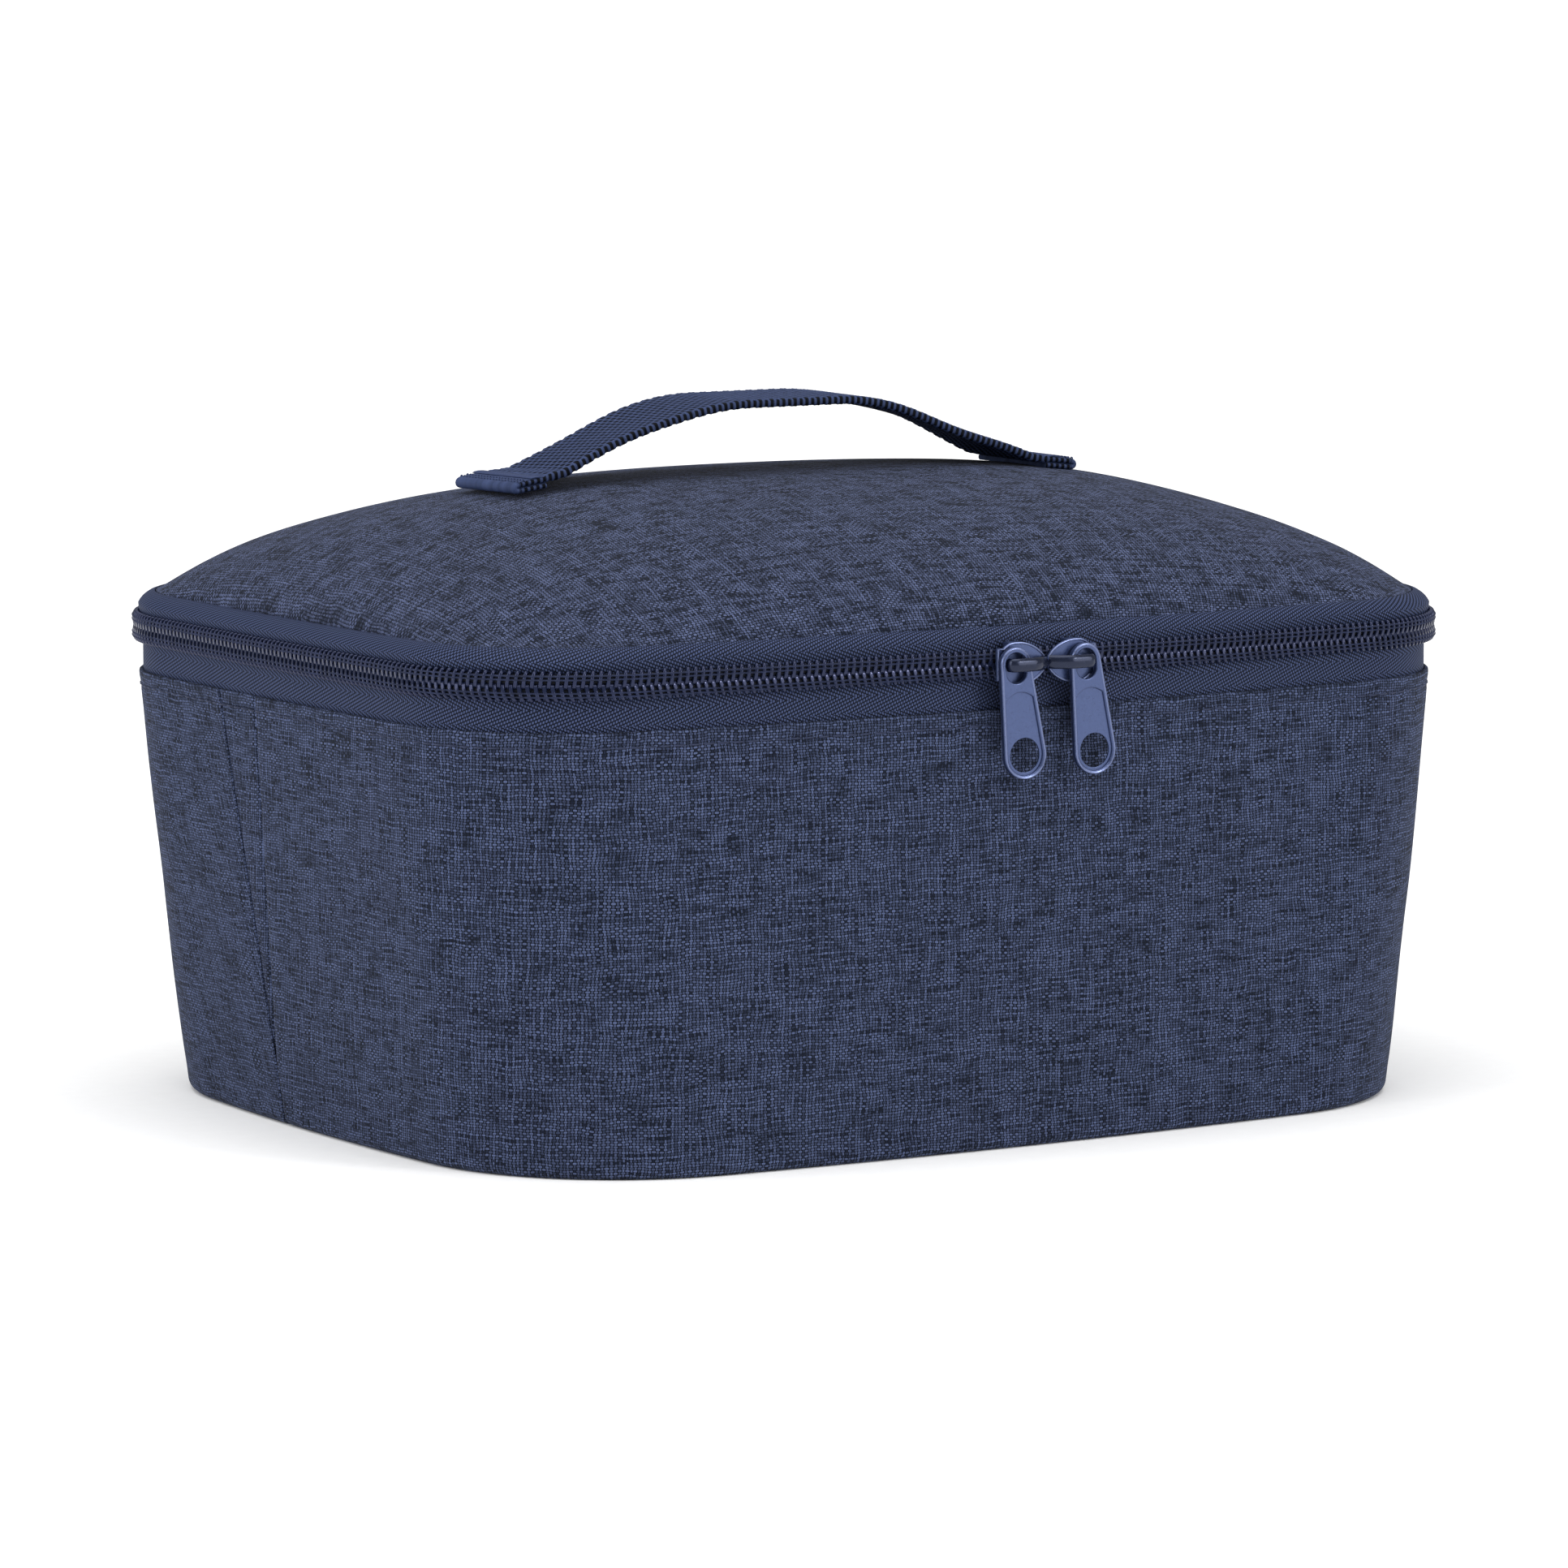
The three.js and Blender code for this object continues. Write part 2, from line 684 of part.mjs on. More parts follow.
// Arched bar above the plate, on a wide leg at the nose and a round leg at the tail
function bridge(side, front, overlap) {
  const low = front + runGap + tabThickness + runGap;
  const high = low + bridgeThickness;
  const x = (value) => side * value;
  const start = -bridgeTail - legRadius - bridgeOverhang;
  const end = bridgeNose + legRadius;
  const profile = new THREE.Shape();
  profile.moveTo(x(start), low);
  profile.lineTo(x(start), high - bridgeRound);
  profile.quadraticCurveTo(x(start), high, x(start + bridgeRound), high);
  profile.lineTo(x(end - bridgeRound), high);
  profile.quadraticCurveTo(x(end), high, x(end), high - bridgeRound);
  profile.lineTo(x(end), front - overlap);
  profile.lineTo(x(end - 2 * legRadius), front - overlap);
  profile.lineTo(x(end - 2 * legRadius), low);
  const place = frame(alongX(), alongY().negate(), alongZ().negate()).setPosition(0, 0, bridgeWidth / 2);
  const bar = solidOf(prism(profile, bridgeWidth, place, 3));
  const length = low + bridgeThickness / 2 - (front - overlap);
  const leg = new THREE.CylinderGeometry(legRadius, legRadius, length, 12);
  leg.translate(x(-bridgeTail), -(front - overlap) - length / 2, 0);
  return bar.add(solidOf(leg));
}

// The tab is drawn hanging from its eye, which is the origin
function tabSolid() {
  const spread = Math.asin((tabBottomRadius - tabTopRadius) / tabCentres);
  const outline = new THREE.Shape();
  outline.absarc(0, 0, tabTopRadius, spread, Math.PI - spread, false);
  outline.absarc(0, -tabCentres, tabBottomRadius, Math.PI - spread, 2 * Math.PI + spread, false);
  const eye = new THREE.Path();
  eye.absarc(0, 0, tabEyeRadius, 0, Math.PI, false);
  eye.absarc(0, -tabEyeStretch, tabEyeRadius, Math.PI, 2 * Math.PI, false);
  const hole = new THREE.Path();
  hole.absarc(0, -tabCentres - tabHoleDrop, tabHoleRadius, 0, 2 * Math.PI, false);
  outline.holes.push(eye, hole);
  const back = 2 * runGap + plateThickness;
  const body = solidOf(prism(outline, tabThickness, forwards(back), 7));
  const halfAt = (y) => (tabTopRadius - y * Math.sin(spread)) / Math.cos(spread) - tabRim;
  const recess = new THREE.Shape();
  recess.moveTo(halfAt(-tabRecessStart), -tabRecessStart);
  recess.quadraticCurveTo(0, -tabRecessStart + tabRecessCrown, -halfAt(-tabRecessStart), -tabRecessStart);
  recess.lineTo(-halfAt(-tabCentres), -tabCentres);
  recess.lineTo(halfAt(-tabCentres), -tabCentres);
  const cut = solidOf(prism(recess, tabThickness, forwards(back + tabThickness - tabRecess), 6));
  return body.subtract(cut);
}

// One slider with its tab, set on the front arc of the coil
function slider(label, side) {
  const radius = hemFrontArc + coilProud;
  const middle = meetingX - side * (noseGap / 2 + plateLength / 2);
  const turn = Math.asin(middle / radius);
  const group = new THREE.Group();
  group.position.set(middle, hemFrontArc - hemDepth / 2 - radius * Math.cos(turn), zipHeight);
  group.rotation.z = turn;
  group.add(piece("slider_" + label, geometryOf(sliderSolid(side)), finishes.metal));
  const tab = piece("pull_tab_" + label, geometryOf(tabSolid()), finishes.metal);
  tab.position.x = -side * bridgeTail;
  tab.rotation.y = THREE.MathUtils.degToRad(-tabLean);
  group.add(tab);
  return group;
}

// Assembly

const bag = new THREE.Group();
const zipParts = zip();
const baseBody = new THREE.Group();
baseBody.add(...wallPanels(), ...wallCore(), basePanel(), ...baseCore(), ...zipParts.base);
const lid = new THREE.Group();
lid.add(...lidLayers(), ...zipParts.lid, strap());
lid.add(handlePatch("handle_patch_left", -1), handlePatch("handle_patch_right", 1));
bag.add(baseBody, lid, slider("left", 1), slider("right", -1));

export default bag;
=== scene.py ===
"""Looks of the soft cooler bag: woven walls, domed lid, coil zip, webbing handle and two sliders.

Sizes are in millimetres until a mesh is made, and the shared frame is in metres: the front faces -Y,
+Z is up and the origin lies on the resting face. "Inset" means inwards in plan from the outer face of
the wall, and "along" means the distance round the outline from the middle of the front towards +X.
"""

import logging
import math
from collections.abc import Callable
from dataclasses import dataclass, field
from enum import Enum

import bpy
import numpy as np
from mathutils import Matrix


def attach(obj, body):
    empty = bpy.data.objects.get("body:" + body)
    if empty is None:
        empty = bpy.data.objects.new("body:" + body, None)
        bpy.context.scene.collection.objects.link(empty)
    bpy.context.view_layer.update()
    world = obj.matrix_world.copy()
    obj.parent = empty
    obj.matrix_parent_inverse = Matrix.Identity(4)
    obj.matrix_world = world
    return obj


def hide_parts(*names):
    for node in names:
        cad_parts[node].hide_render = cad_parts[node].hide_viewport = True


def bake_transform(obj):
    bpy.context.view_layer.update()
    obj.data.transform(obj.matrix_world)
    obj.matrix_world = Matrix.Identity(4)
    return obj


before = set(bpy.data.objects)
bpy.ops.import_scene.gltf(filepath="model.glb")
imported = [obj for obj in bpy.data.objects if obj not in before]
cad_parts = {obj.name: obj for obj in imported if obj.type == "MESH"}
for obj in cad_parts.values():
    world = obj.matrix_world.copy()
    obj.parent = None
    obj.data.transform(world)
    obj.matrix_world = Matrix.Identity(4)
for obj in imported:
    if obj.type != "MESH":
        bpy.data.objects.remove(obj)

log = logging.getLogger("cooler_bag")
METRES = 0.001
CLOTH_MAP = "cloth"
# The property that a node's mode goes into
MODES = {"Math": "operation", "Mix": "data_type", "TexNoise": "noise_dimensions",
         "TexWhiteNoise": "noise_dimensions"}

Array = np.ndarray
Loops = list[Array]
Socket = bpy.types.NodeSocket
Tree = bpy.types.NodeTree
Material = bpy.types.Material
Object = bpy.types.Object


class Side(Enum):
    """A side of the bag, with the sign of X there."""

    LEFT = -1
    RIGHT = 1


class Rib(Enum):
    """Which way the herringbone's ribs climb along the tape."""

    RISING = 1
    FALLING = -1


# Colours and nodes


def linear(colour: str) -> tuple[float, float, float, float]:
    """Turns an sRGB hex colour into linear RGBA.

    Args:
        colour: Six hex digits after a hash sign.

    Returns:
        Linear red, green and blue, with alpha 1.
    """
    parts = [int(colour[k:k + 2], 16) / 255 for k in (1, 3, 5)]
    red, green, blue = [p / 12.92 if p <= 0.04045 else ((p + 0.055) / 1.055) ** 2.4 for p in parts]
    return red, green, blue, 1.0


def node(tree: Tree, kind: str, inputs: tuple | dict, out: int | str = 0, **settings) -> Socket | None:
    """Adds a node with its settings, values and links.

    Args:
        tree: The node tree that gets the node.
        kind: The node's type, without the leading "ShaderNode", and after a space its mode if it has one.
        inputs: Values or sockets for the inputs, by position or by name.
        out: The output to give back, by number or by name.
        settings: Properties of the node.

    Returns:
        The chosen output socket, if the node has outputs.
    """
    kind, _, mode = kind.partition(" ")
    made = tree.nodes.new("ShaderNode" + kind)
    if mode:
        setattr(made, MODES[kind], mode)
    for name, value in settings.items():
        setattr(made, name, value)
    for key, value in inputs.items() if isinstance(inputs, dict) else enumerate(inputs):
        if isinstance(value, Socket):
            tree.links.new(value, made.inputs[key])
        else:
            made.inputs[key].default_value = value
    return made.outputs[out] if made.outputs else None


def new_material(name: str) -> tuple[Material, Tree]:
    """Makes an empty node material and gives it with its node tree."""
    material = bpy.data.materials.new(name)
    material.use_nodes = True
    material.node_tree.nodes.clear()
    return material, material.node_tree


def cloth_coordinates(tree: Tree) -> tuple[Socket, Socket]:
    """Gives the distances along and across the cloth in millimetres."""
    place = node(tree, "UVMap", (), uv_map=CLOTH_MAP)
    split = node(tree, "SeparateXYZ", (place,)).node
    return split.outputs[0], split.outputs[1]


def noise_at(tree: Tree, u: Socket, v: Socket, detail: float = 2.0) -> Socket:
    """Gives a plane noise whose blotches are about one unit wide."""
    place = node(tree, "CombineXYZ", (u, v, 0.0))
    return node(tree, "TexNoise 2D", {"Vector": place, "Scale": 1.0, "Detail": detail})


def off_middle(tree: Tree, place: Socket) -> Socket:
    """Gives the squared distance from the middle of a unit cell: 0 in the middle and 1 at its ends."""
    part = node(tree, "Math MULTIPLY_ADD", (node(tree, "Math FRACT", (place,)), 2.0, -1.0))
    return node(tree, "Math MULTIPLY", (part, part))


def finished(material: Material, height: Socket, strength: float, depth: float, looks: dict) -> Material:
    """Closes a material with its bump and its principled shader.

    Args:
        material: The material.
        height: Height of the surface, from 0 to 1.
        strength: How strongly the bump shades.
        depth: Depth of the bump in millimetres.
        looks: The shader's other inputs by name.

    Returns:
        The same material.
    """
    tree = material.node_tree
    normal = node(tree, "Bump", {"Height": height, "Strength": strength, "Distance": depth * METRES})
    node(tree, "OutputMaterial", {"Surface": node(tree, "BsdfPrincipled", {**looks, "Normal": normal})})
    return material


# Finishes


@dataclass(frozen=True)
class MelangeWeave:
    """Plain-woven polyester of mottled yarn, as on cooler bags: the yarn's dark and pale stretches lie as
    short streaks along both thread directions. The pinholes between the threads and the threads' edges are
    painted dark as shade, and the eye sees a soft, matt cloth."""

    name: str = "melange_polyester_plain_weave"
    # Painted shade: the nearly black tone of the pits between the threads
    hole: str = "#0d1119"
    dark: str = "#151b2b"
    pale: str = "#4f5a7b"
    warp_pitch: float = 0.86
    weft_pitch: float = 0.62
    weft_streak: float = 9.0
    warp_streak: float = 10.0
    neighbour: float = 0.83
    wander: float = 2.0
    wander_scales: tuple[float, float] = (0.11, 0.13)
    cloud: float = 7.0
    cloud_stretch: float = 2.2
    contrast: float = 2.7
    warp_share: float = 0.75
    warp_level: float = -0.05
    cloud_share: float = 0.4
    speck_share: float = 0.35
    level: float = -0.08
    warp_width: float = 0.64
    weft_width: float = 0.84
    dip: float = 0.35
    cover: float = 2.0
    roughness: float = 0.85
    bump: float = 0.12

    def build(self) -> Material:
        """Makes the material from threads with tones of their own, and the upper one shows in each cell."""
        material, tree = new_material(self.name)
        u, v = cloth_coordinates(tree)
        # Woven threads wander a little from their straight lines
        place = node(tree, "CombineXYZ", (u, v, 0.0))
        strays = [node(tree, "TexNoise 2D", {"Vector": place, "Scale": scale, "Detail": 2.0})
                  for scale in self.wander_scales]
        u = node(tree, "Math MULTIPLY_ADD", (strays[0], self.wander * self.warp_pitch, u))
        v = node(tree, "Math MULTIPLY_ADD", (strays[1], self.wander * self.weft_pitch, v))
        column = node(tree, "Math DIVIDE", (u, self.warp_pitch))
        row = node(tree, "Math DIVIDE", (v, self.weft_pitch))
        warp, weft = node(tree, "Math FLOOR", (column,)), node(tree, "Math FLOOR", (row,))
        weft_up = node(tree, "Math FLOORED_MODULO", (node(tree, "Math ADD", (warp, weft)), 2.0))
        # Tone of each thread along its own length, stronger in the weft
        weft_tone = noise_at(tree, node(tree, "Math DIVIDE", (u, self.weft_streak)),
                             node(tree, "Math MULTIPLY", (weft, self.neighbour)))
        warp_tone = noise_at(tree, node(tree, "Math MULTIPLY", (warp, self.neighbour)),
                             node(tree, "Math DIVIDE", (v, self.warp_streak)))
        calmer = node(tree, "Math MULTIPLY_ADD", (
            warp_tone, self.warp_share, 0.5 - self.warp_share / 2 + self.warp_level))
        tone = node(tree, "Mix FLOAT", {2: calmer, 3: weft_tone, 0: weft_up})
        # The streaks gather in small soft clouds
        cloud = noise_at(tree, node(tree, "Math DIVIDE", (u, self.cloud_stretch * self.cloud)),
                         node(tree, "Math DIVIDE", (v, self.cloud)), 3.0)
        cloud_part = node(tree, "Math MULTIPLY_ADD", (cloud, self.cloud_share, 0.5 - self.cloud_share / 2))
        tone_part = node(tree, "Math MULTIPLY_ADD", (tone, self.contrast, self.level - self.contrast / 2))
        # No two crossings look quite alike
        speck = node(tree, "TexWhiteNoise 2D", {"Vector": node(tree, "CombineXYZ", (warp, weft, 0.0))})
        speck_part = node(tree, "Math MULTIPLY_ADD", (speck, self.speck_share, cloud_part))
        mixed = node(tree, "Math ADD", (tone_part, speck_part), use_clamp=True)
        # The weft lies flat and wide over its crossing and the warp is thinner; each thread is painted darker
        # towards its edges and the pits beside it nearly black, as painted shade
        square_u, square_v = off_middle(tree, column), off_middle(tree, row)
        across = node(tree, "Mix FLOAT", {2: square_u, 3: square_v, 0: weft_up})
        along = node(tree, "Mix FLOAT", {2: square_v, 3: square_u, 0: weft_up})
        narrow = 1 / self.warp_width ** 2
        slim = node(tree, "Math MULTIPLY_ADD", (weft_up, 1 / self.weft_width ** 2 - narrow, narrow))
        ridge = node(tree, "Math MULTIPLY_ADD", (along, -self.dip, 1.0))
        flank = node(tree, "Math MULTIPLY", (across, slim))
        height = node(tree, "Math SUBTRACT", (ridge, flank), use_clamp=True)
        # Painted shade: where a thread sinks below half its height it fades to the pits' dark tone
        unshaded_thread = node(tree, "Math MULTIPLY", (height, self.cover), use_clamp=True)
        thread = node(tree, "Mix RGBA", {6: linear(self.dark), 7: linear(self.pale), 0: mixed}, out=2)
        colour = node(tree, "Mix RGBA", {6: linear(self.hole), 7: thread, 0: unshaded_thread}, out=2)
        return finished(material, height, 0.6, self.bump, {
            "Base Color": colour, "Roughness": self.roughness, "Specular IOR Level": 0.08,
            "Sheen Weight": 0.03, "Sheen Roughness": 0.5})


@dataclass(frozen=True)
class HerringboneTape:
    """Polyester zip tape in a fine herringbone twill: matt ribs lean one way in one band and the other way in
    the next, each rib a row of small floats. The floats' crowns are painted pale as painted highlights in
    dotted slanting lines, and the ground between them nearly black as painted shade."""

    name: str
    turns: tuple[float, ...]
    first: Rib
    # The dark tone is painted shade between the ribs and floats; the pale tone is a painted highlight on
    # their crowns
    colour: str = "#070a14"
    pale: str = "#4b577c"
    rib_pitch: float = 0.84
    rib_slope: float = 0.394
    rib_fall: float = 1.35
    float_pitch: float = 0.7
    float_fall: float = 1.3
    roughness: float = 0.65
    bump: float = 0.08

    def build(self) -> Material:
        """Makes the material: the second cloth coordinate is the distance from the coil's middle line."""
        material, tree = new_material(self.name)
        u, v = cloth_coordinates(tree)
        lean = self.first.value * self.rib_slope
        slope = None
        for turn in self.turns:
            step = node(tree, "Math GREATER_THAN", (v, turn))
            share = node(tree, "Math MULTIPLY_ADD", (step, -2.0 * lean, 0.0))
            slope = share if slope is None else node(tree, "Math ADD", (slope, share))
            lean = -lean
        slope = node(tree, "Math ADD", (slope, self.first.value * self.rib_slope))
        climb = node(tree, "Math MULTIPLY", (u, slope))
        level = node(tree, "Math SUBTRACT", (v, climb))
        rib = node(tree, "Math DIVIDE", (level, self.rib_pitch))
        stagger = node(tree, "Math MULTIPLY_ADD", (node(tree, "Math FLOOR", (rib,)), 0.5, 0.0))
        dot = node(tree, "Math ADD", (node(tree, "Math DIVIDE", (u, self.float_pitch)), stagger))
        heights = [node(tree, "Math MULTIPLY_ADD", (off_middle(tree, place), -fall, 1.0), use_clamp=True)
                   for place, fall in ((rib, self.rib_fall), (dot, self.float_fall))]
        height = node(tree, "Math MULTIPLY", heights)
        # The tone follows the height: painted highlights on the floats' crowns, painted shade between them
        tone = node(tree, "Mix RGBA", {6: linear(self.colour), 7: linear(self.pale), 0: height}, out=2)
        return finished(material, height, 0.7, self.bump, {
            "Base Color": tone, "Roughness": self.roughness, "Specular IOR Level": 0.08})


@dataclass(frozen=True)
class BasketWebbing:
    """Heavy polyester webbing of thick filament bundles that cross it like bricks: each has a pale, dull
    silky crown, and below it the pit is painted nearly black as shade."""

    name: str = "polyester_basket_webbing"
    pit_shade: str = "#05070e"
    colour: str = "#1b2439"
    pale: str = "#47547b"
    brick: float = 2.56
    course: float = 1.6
    line_pitch: float = 0.25
    line_length: float = 3.0
    pit_start: float = 0.3
    pit_end: float = 0.58
    roughness: float = 0.6
    bump: float = 0.05

    def build(self) -> Material:
        """Makes the material on the bricks of the strap's relief: courses lie along it, bricks across."""
        material, tree = new_material(self.name)
        u, v = cloth_coordinates(tree)
        along = node(tree, "Math DIVIDE", (u, self.course))
        number = node(tree, "Math FLOOR", (along,))
        across = node(tree, "Math MULTIPLY_ADD", (number, 0.5, node(tree, "Math DIVIDE", (v, self.brick))))
        waves = []
        for place in (across, along):
            part = node(tree, "Math MULTIPLY", (node(tree, "Math FRACT", (place,)), math.pi))
            waves.append(node(tree, "Math SINE", (part,)))
        depth = node(tree, "Math MULTIPLY", waves)
        # Painted shade: the pits between the bricks fade to nearly black
        unshaded_brick = node(tree, "MapRange", {"Value": depth, "From Min": self.pit_end, "From Max": self.pit_start})
        lines = noise_at(tree, node(tree, "Math DIVIDE", (u, self.line_pitch)),
                         node(tree, "Math DIVIDE", (v, self.line_length)))
        bundle = node(tree, "Mix RGBA", {6: linear(self.colour), 7: linear(self.pale), 0: lines}, out=2)
        colour = node(tree, "Mix RGBA", {6: linear(self.pit_shade), 7: bundle, 0: unshaded_brick}, out=2)
        return finished(material, lines, 0.5, self.bump, {
            "Base Color": colour, "Roughness": self.roughness, "Specular IOR Level": 0.06})


@dataclass(frozen=True)
class YarnBundle:
    """Twisted or parallel polyester filaments, as in sewing thread and binding: fine lines run along the
    yarn, which give it a silky sheen that breaks up along its length."""

    name: str
    colour: str
    pale: str
    line_pitch: float
    roughness: float = 0.55
    bump: float = 0.08
    line_length: float = 6.0
    lines_along: bool = True

    def build(self) -> Material:
        """Makes the material: the filament lines follow the first or the second cloth coordinate."""
        material, tree = new_material(self.name)
        u, v = cloth_coordinates(tree)
        run, cross = (u, v) if self.lines_along else (v, u)
        lines = noise_at(tree, node(tree, "Math DIVIDE", (run, self.line_length)),
                         node(tree, "Math DIVIDE", (cross, self.line_pitch)))
        spread = node(tree, "MapRange", {"Value": lines, "From Min": 0.3, "From Max": 0.7})
        tone = node(tree, "Mix RGBA", {6: linear(self.colour), 7: linear(self.pale), 0: spread}, out=2)
        return finished(material, lines, 0.5, self.bump, {
            "Base Color": tone, "Roughness": self.roughness, "Specular IOR Level": 0.2})


@dataclass(frozen=True)
class SmoothSurface:
    """A moulded, drawn, lacquered or coated surface: its gloss comes from the roughness, and a fine random
    bump breaks the reflections up as real moulding, drawing or coating does."""

    name: str
    colour: str
    pale: str
    metallic: float = 0.0
    roughness: float = 0.4
    roughness_spread: float = 0.08
    grain: float = 1.0
    bump: float = 0.01
    coat: float = 0.0
    gloss: str = "#ffffff"

    def build(self) -> Material:
        """Makes the material: one noise in object space drives tone, roughness and bump."""
        material, tree = new_material(self.name)
        place = node(tree, "TexCoord", (), out="Object")
        grain = node(tree, "TexNoise", {
            "Vector": place, "Scale": 1.0 / (self.grain * METRES), "Detail": 4.0})
        tone = node(tree, "Mix RGBA", {6: linear(self.colour), 7: linear(self.pale), 0: grain}, out=2)
        rough = node(tree, "MapRange", {
            "Value": grain, "From Min": 0.3, "From Max": 0.7,
            "To Min": self.roughness - self.roughness_spread,
            "To Max": self.roughness + self.roughness_spread})
        return finished(material, grain, 0.5, self.bump, {
            "Base Color": tone, "Metallic": self.metallic, "Roughness": rough, "Coat Weight": self.coat,
            "Coat Roughness": 0.15, "Specular Tint": linear(self.gloss)})


class Finishes:
    """Every material of the bag, made once."""

    def __init__(self) -> None:
        """Builds each finish."""
        self.melange = MelangeWeave().build()
        # The lid's cloth is the same, and its streaks gather in smaller and plainer clouds
        self.lid_melange = MelangeWeave(
            "melange_polyester_lid_cloth", dark="#171d2d", pale="#555f80", cloud=2.2, cloud_share=0.6,
            neighbour=0.5, contrast=3.2, level=-0.12).build()
        # Bands of the herringbone, counted in millimetres up or down from the coil's middle line
        self.lower_tape = HerringboneTape("herringbone_zip_tape_lower", (-9.4, -5.4), Rib.FALLING).build()
        self.upper_tape = HerringboneTape("herringbone_zip_tape_upper", (5.2, 9.6), Rib.FALLING).build()
        # Extruded polyester monofilament, wound: smooth and glossy with a thin bright line on each turn
        self.coil = SmoothSurface(
            "zip_coil_monofilament", "#11162a", "#1c2339", roughness=0.17, grain=2.0, gloss="#c2caff").build()
        # Cord of soft filaments inside the coil, coloured nearly black as painted shade in the gaps between
        # the turns
        self.cord = YarnBundle("zip_filler_cord_painted_shade", "#090c14", "#10141f", 0.3, roughness=0.8).build()
        # Sewing threads of bonded filaments: a fine silky line on the cloth, in the tone of what they sew
        self.zip_thread = YarnBundle("zip_sewing_thread", "#10162a", "#262f4d", 0.16, roughness=0.6).build()
        self.thread = YarnBundle("polyester_sewing_thread", "#181e30", "#353d58", 0.16, roughness=0.5).build()
        self.strap_thread = YarnBundle(
            "bonded_handle_thread", "#1c2540", "#3c496e", 0.16, roughness=0.6).build()
        self.webbing = BasketWebbing().build()
        # Woven edge tape: fine crosswise ribs, dull and soft
        self.binding = YarnBundle("grosgrain_binding", "#1f2638", "#323c57", 0.7, lines_along=False).build()
        # Die-cast zinc with baked lacquer: a satin coloured skin over metal; the rim beads get a paler copy
        # as painted highlight and the bridge bar a darker one as painted shade
        self.zinc = SmoothSurface(
            "lacquered_die_cast_zinc", "#3c486b", "#47557d", metallic=0.7, roughness=0.34, grain=0.5,
            bump=0.012, coat=0.15).build()
        # Painted highlight on the plate's and tab's rim beads: a paler, slightly smoother copy of the
        # lacquered zinc that stands in for bright lines of light along them
        self.edge = SmoothSurface(
            "zinc_rim_painted_highlight", "#5f6a90", "#7681a6", metallic=0.8, roughness=0.32, grain=0.5).build()
        # The bridge bar: the same lacquered zinc painted dark, as painted shade for the dark reflections on
        # it, and smoother
        self.bar = SmoothSurface(
            "bridge_lacquer_painted_dark", "#151c31", "#1e2740", metallic=0.6, roughness=0.22, grain=0.8,
            coat=0.12).build()
        # Silvery film on cloth, calendered: soft broad reflections that follow its crinkles
        self.lining = SmoothSurface(
            "silver_coated_lining", "#83878e", "#9b9fa6", metallic=0.55, roughness=0.42, grain=4.0,
            bump=0.1).build()
        # Closed-cell polyethylene foam, sliced: matt and chalky with fine cells
        self.foam = SmoothSurface(
            "closed_cell_foam", "#e2e0da", "#f0eee9", roughness=0.95, grain=1.2, bump=0.15).build()
        # Extruded polypropylene board: dark and slightly glossy with faint flow marks
        self.board = SmoothSurface(
            "polypropylene_board", "#26282c", "#303338", roughness=0.55, grain=3.0).build()


# Meshes


def unit(vectors: Array) -> Array:
    """Scales each row to length one."""
    return vectors / np.maximum(np.linalg.norm(vectors, axis=-1, keepdims=True), 1e-9)


def ease(value: Array) -> Array:
    """Turns 0 to 1 into a smooth step, flat at both ends."""
    held = np.clip(value, 0, 1)
    return held * held * (3 - 2 * held)


def run_along(line: Array) -> Array:
    """Gives each point's distance from the first one, measured along the line."""
    return np.concatenate([[0], np.cumsum(np.linalg.norm(np.diff(line, axis=0), axis=1))])


def spaced(line: Array, count: int) -> Array:
    """Spaces this many points evenly along a line, both ends included."""
    run = run_along(line)
    return np.stack([np.interp(np.linspace(0, run[-1], count), run, column) for column in line.T], 1)


def smoothed(line: Array, reach: int) -> Array:
    """Rounds a line's corners: each point becomes a mean of its neighbours up to this many places away."""
    weights = np.hanning(2 * reach + 1)
    padded = np.pad(line, ((reach, reach), (0, 0)), mode="edge")
    return np.stack([np.convolve(column, weights / weights.sum(), "valid") for column in padded.T], 1)


def bezier(pulls: list, count: int) -> Array:
    """Gives points of the curve from the first to the last of these points, drawn towards those between."""
    t, last = np.linspace(0, 1, count)[:, None], len(pulls) - 1
    return sum(math.comb(last, k) * t ** k * (1 - t) ** (last - k) * np.asarray(pull, float)
               for k, pull in enumerate(pulls))


def arc(x: float, z: float, radius: float, start: float, end: float, count: int = 33) -> Array:
    """Gives points of an arc round a centre between two angles in radians, both ends included."""
    turn = np.linspace(start, end, count)
    return np.stack([x + radius * np.cos(turn), z + radius * np.sin(turn)], 1)


def cells(rows: int, columns: int) -> tuple[Array, Array]:
    """Gives the row and the column of each cell of a grid."""
    r, c = np.meshgrid(np.arange(rows), np.arange(columns), indexing="ij")
    return r.ravel(), c.ravel()


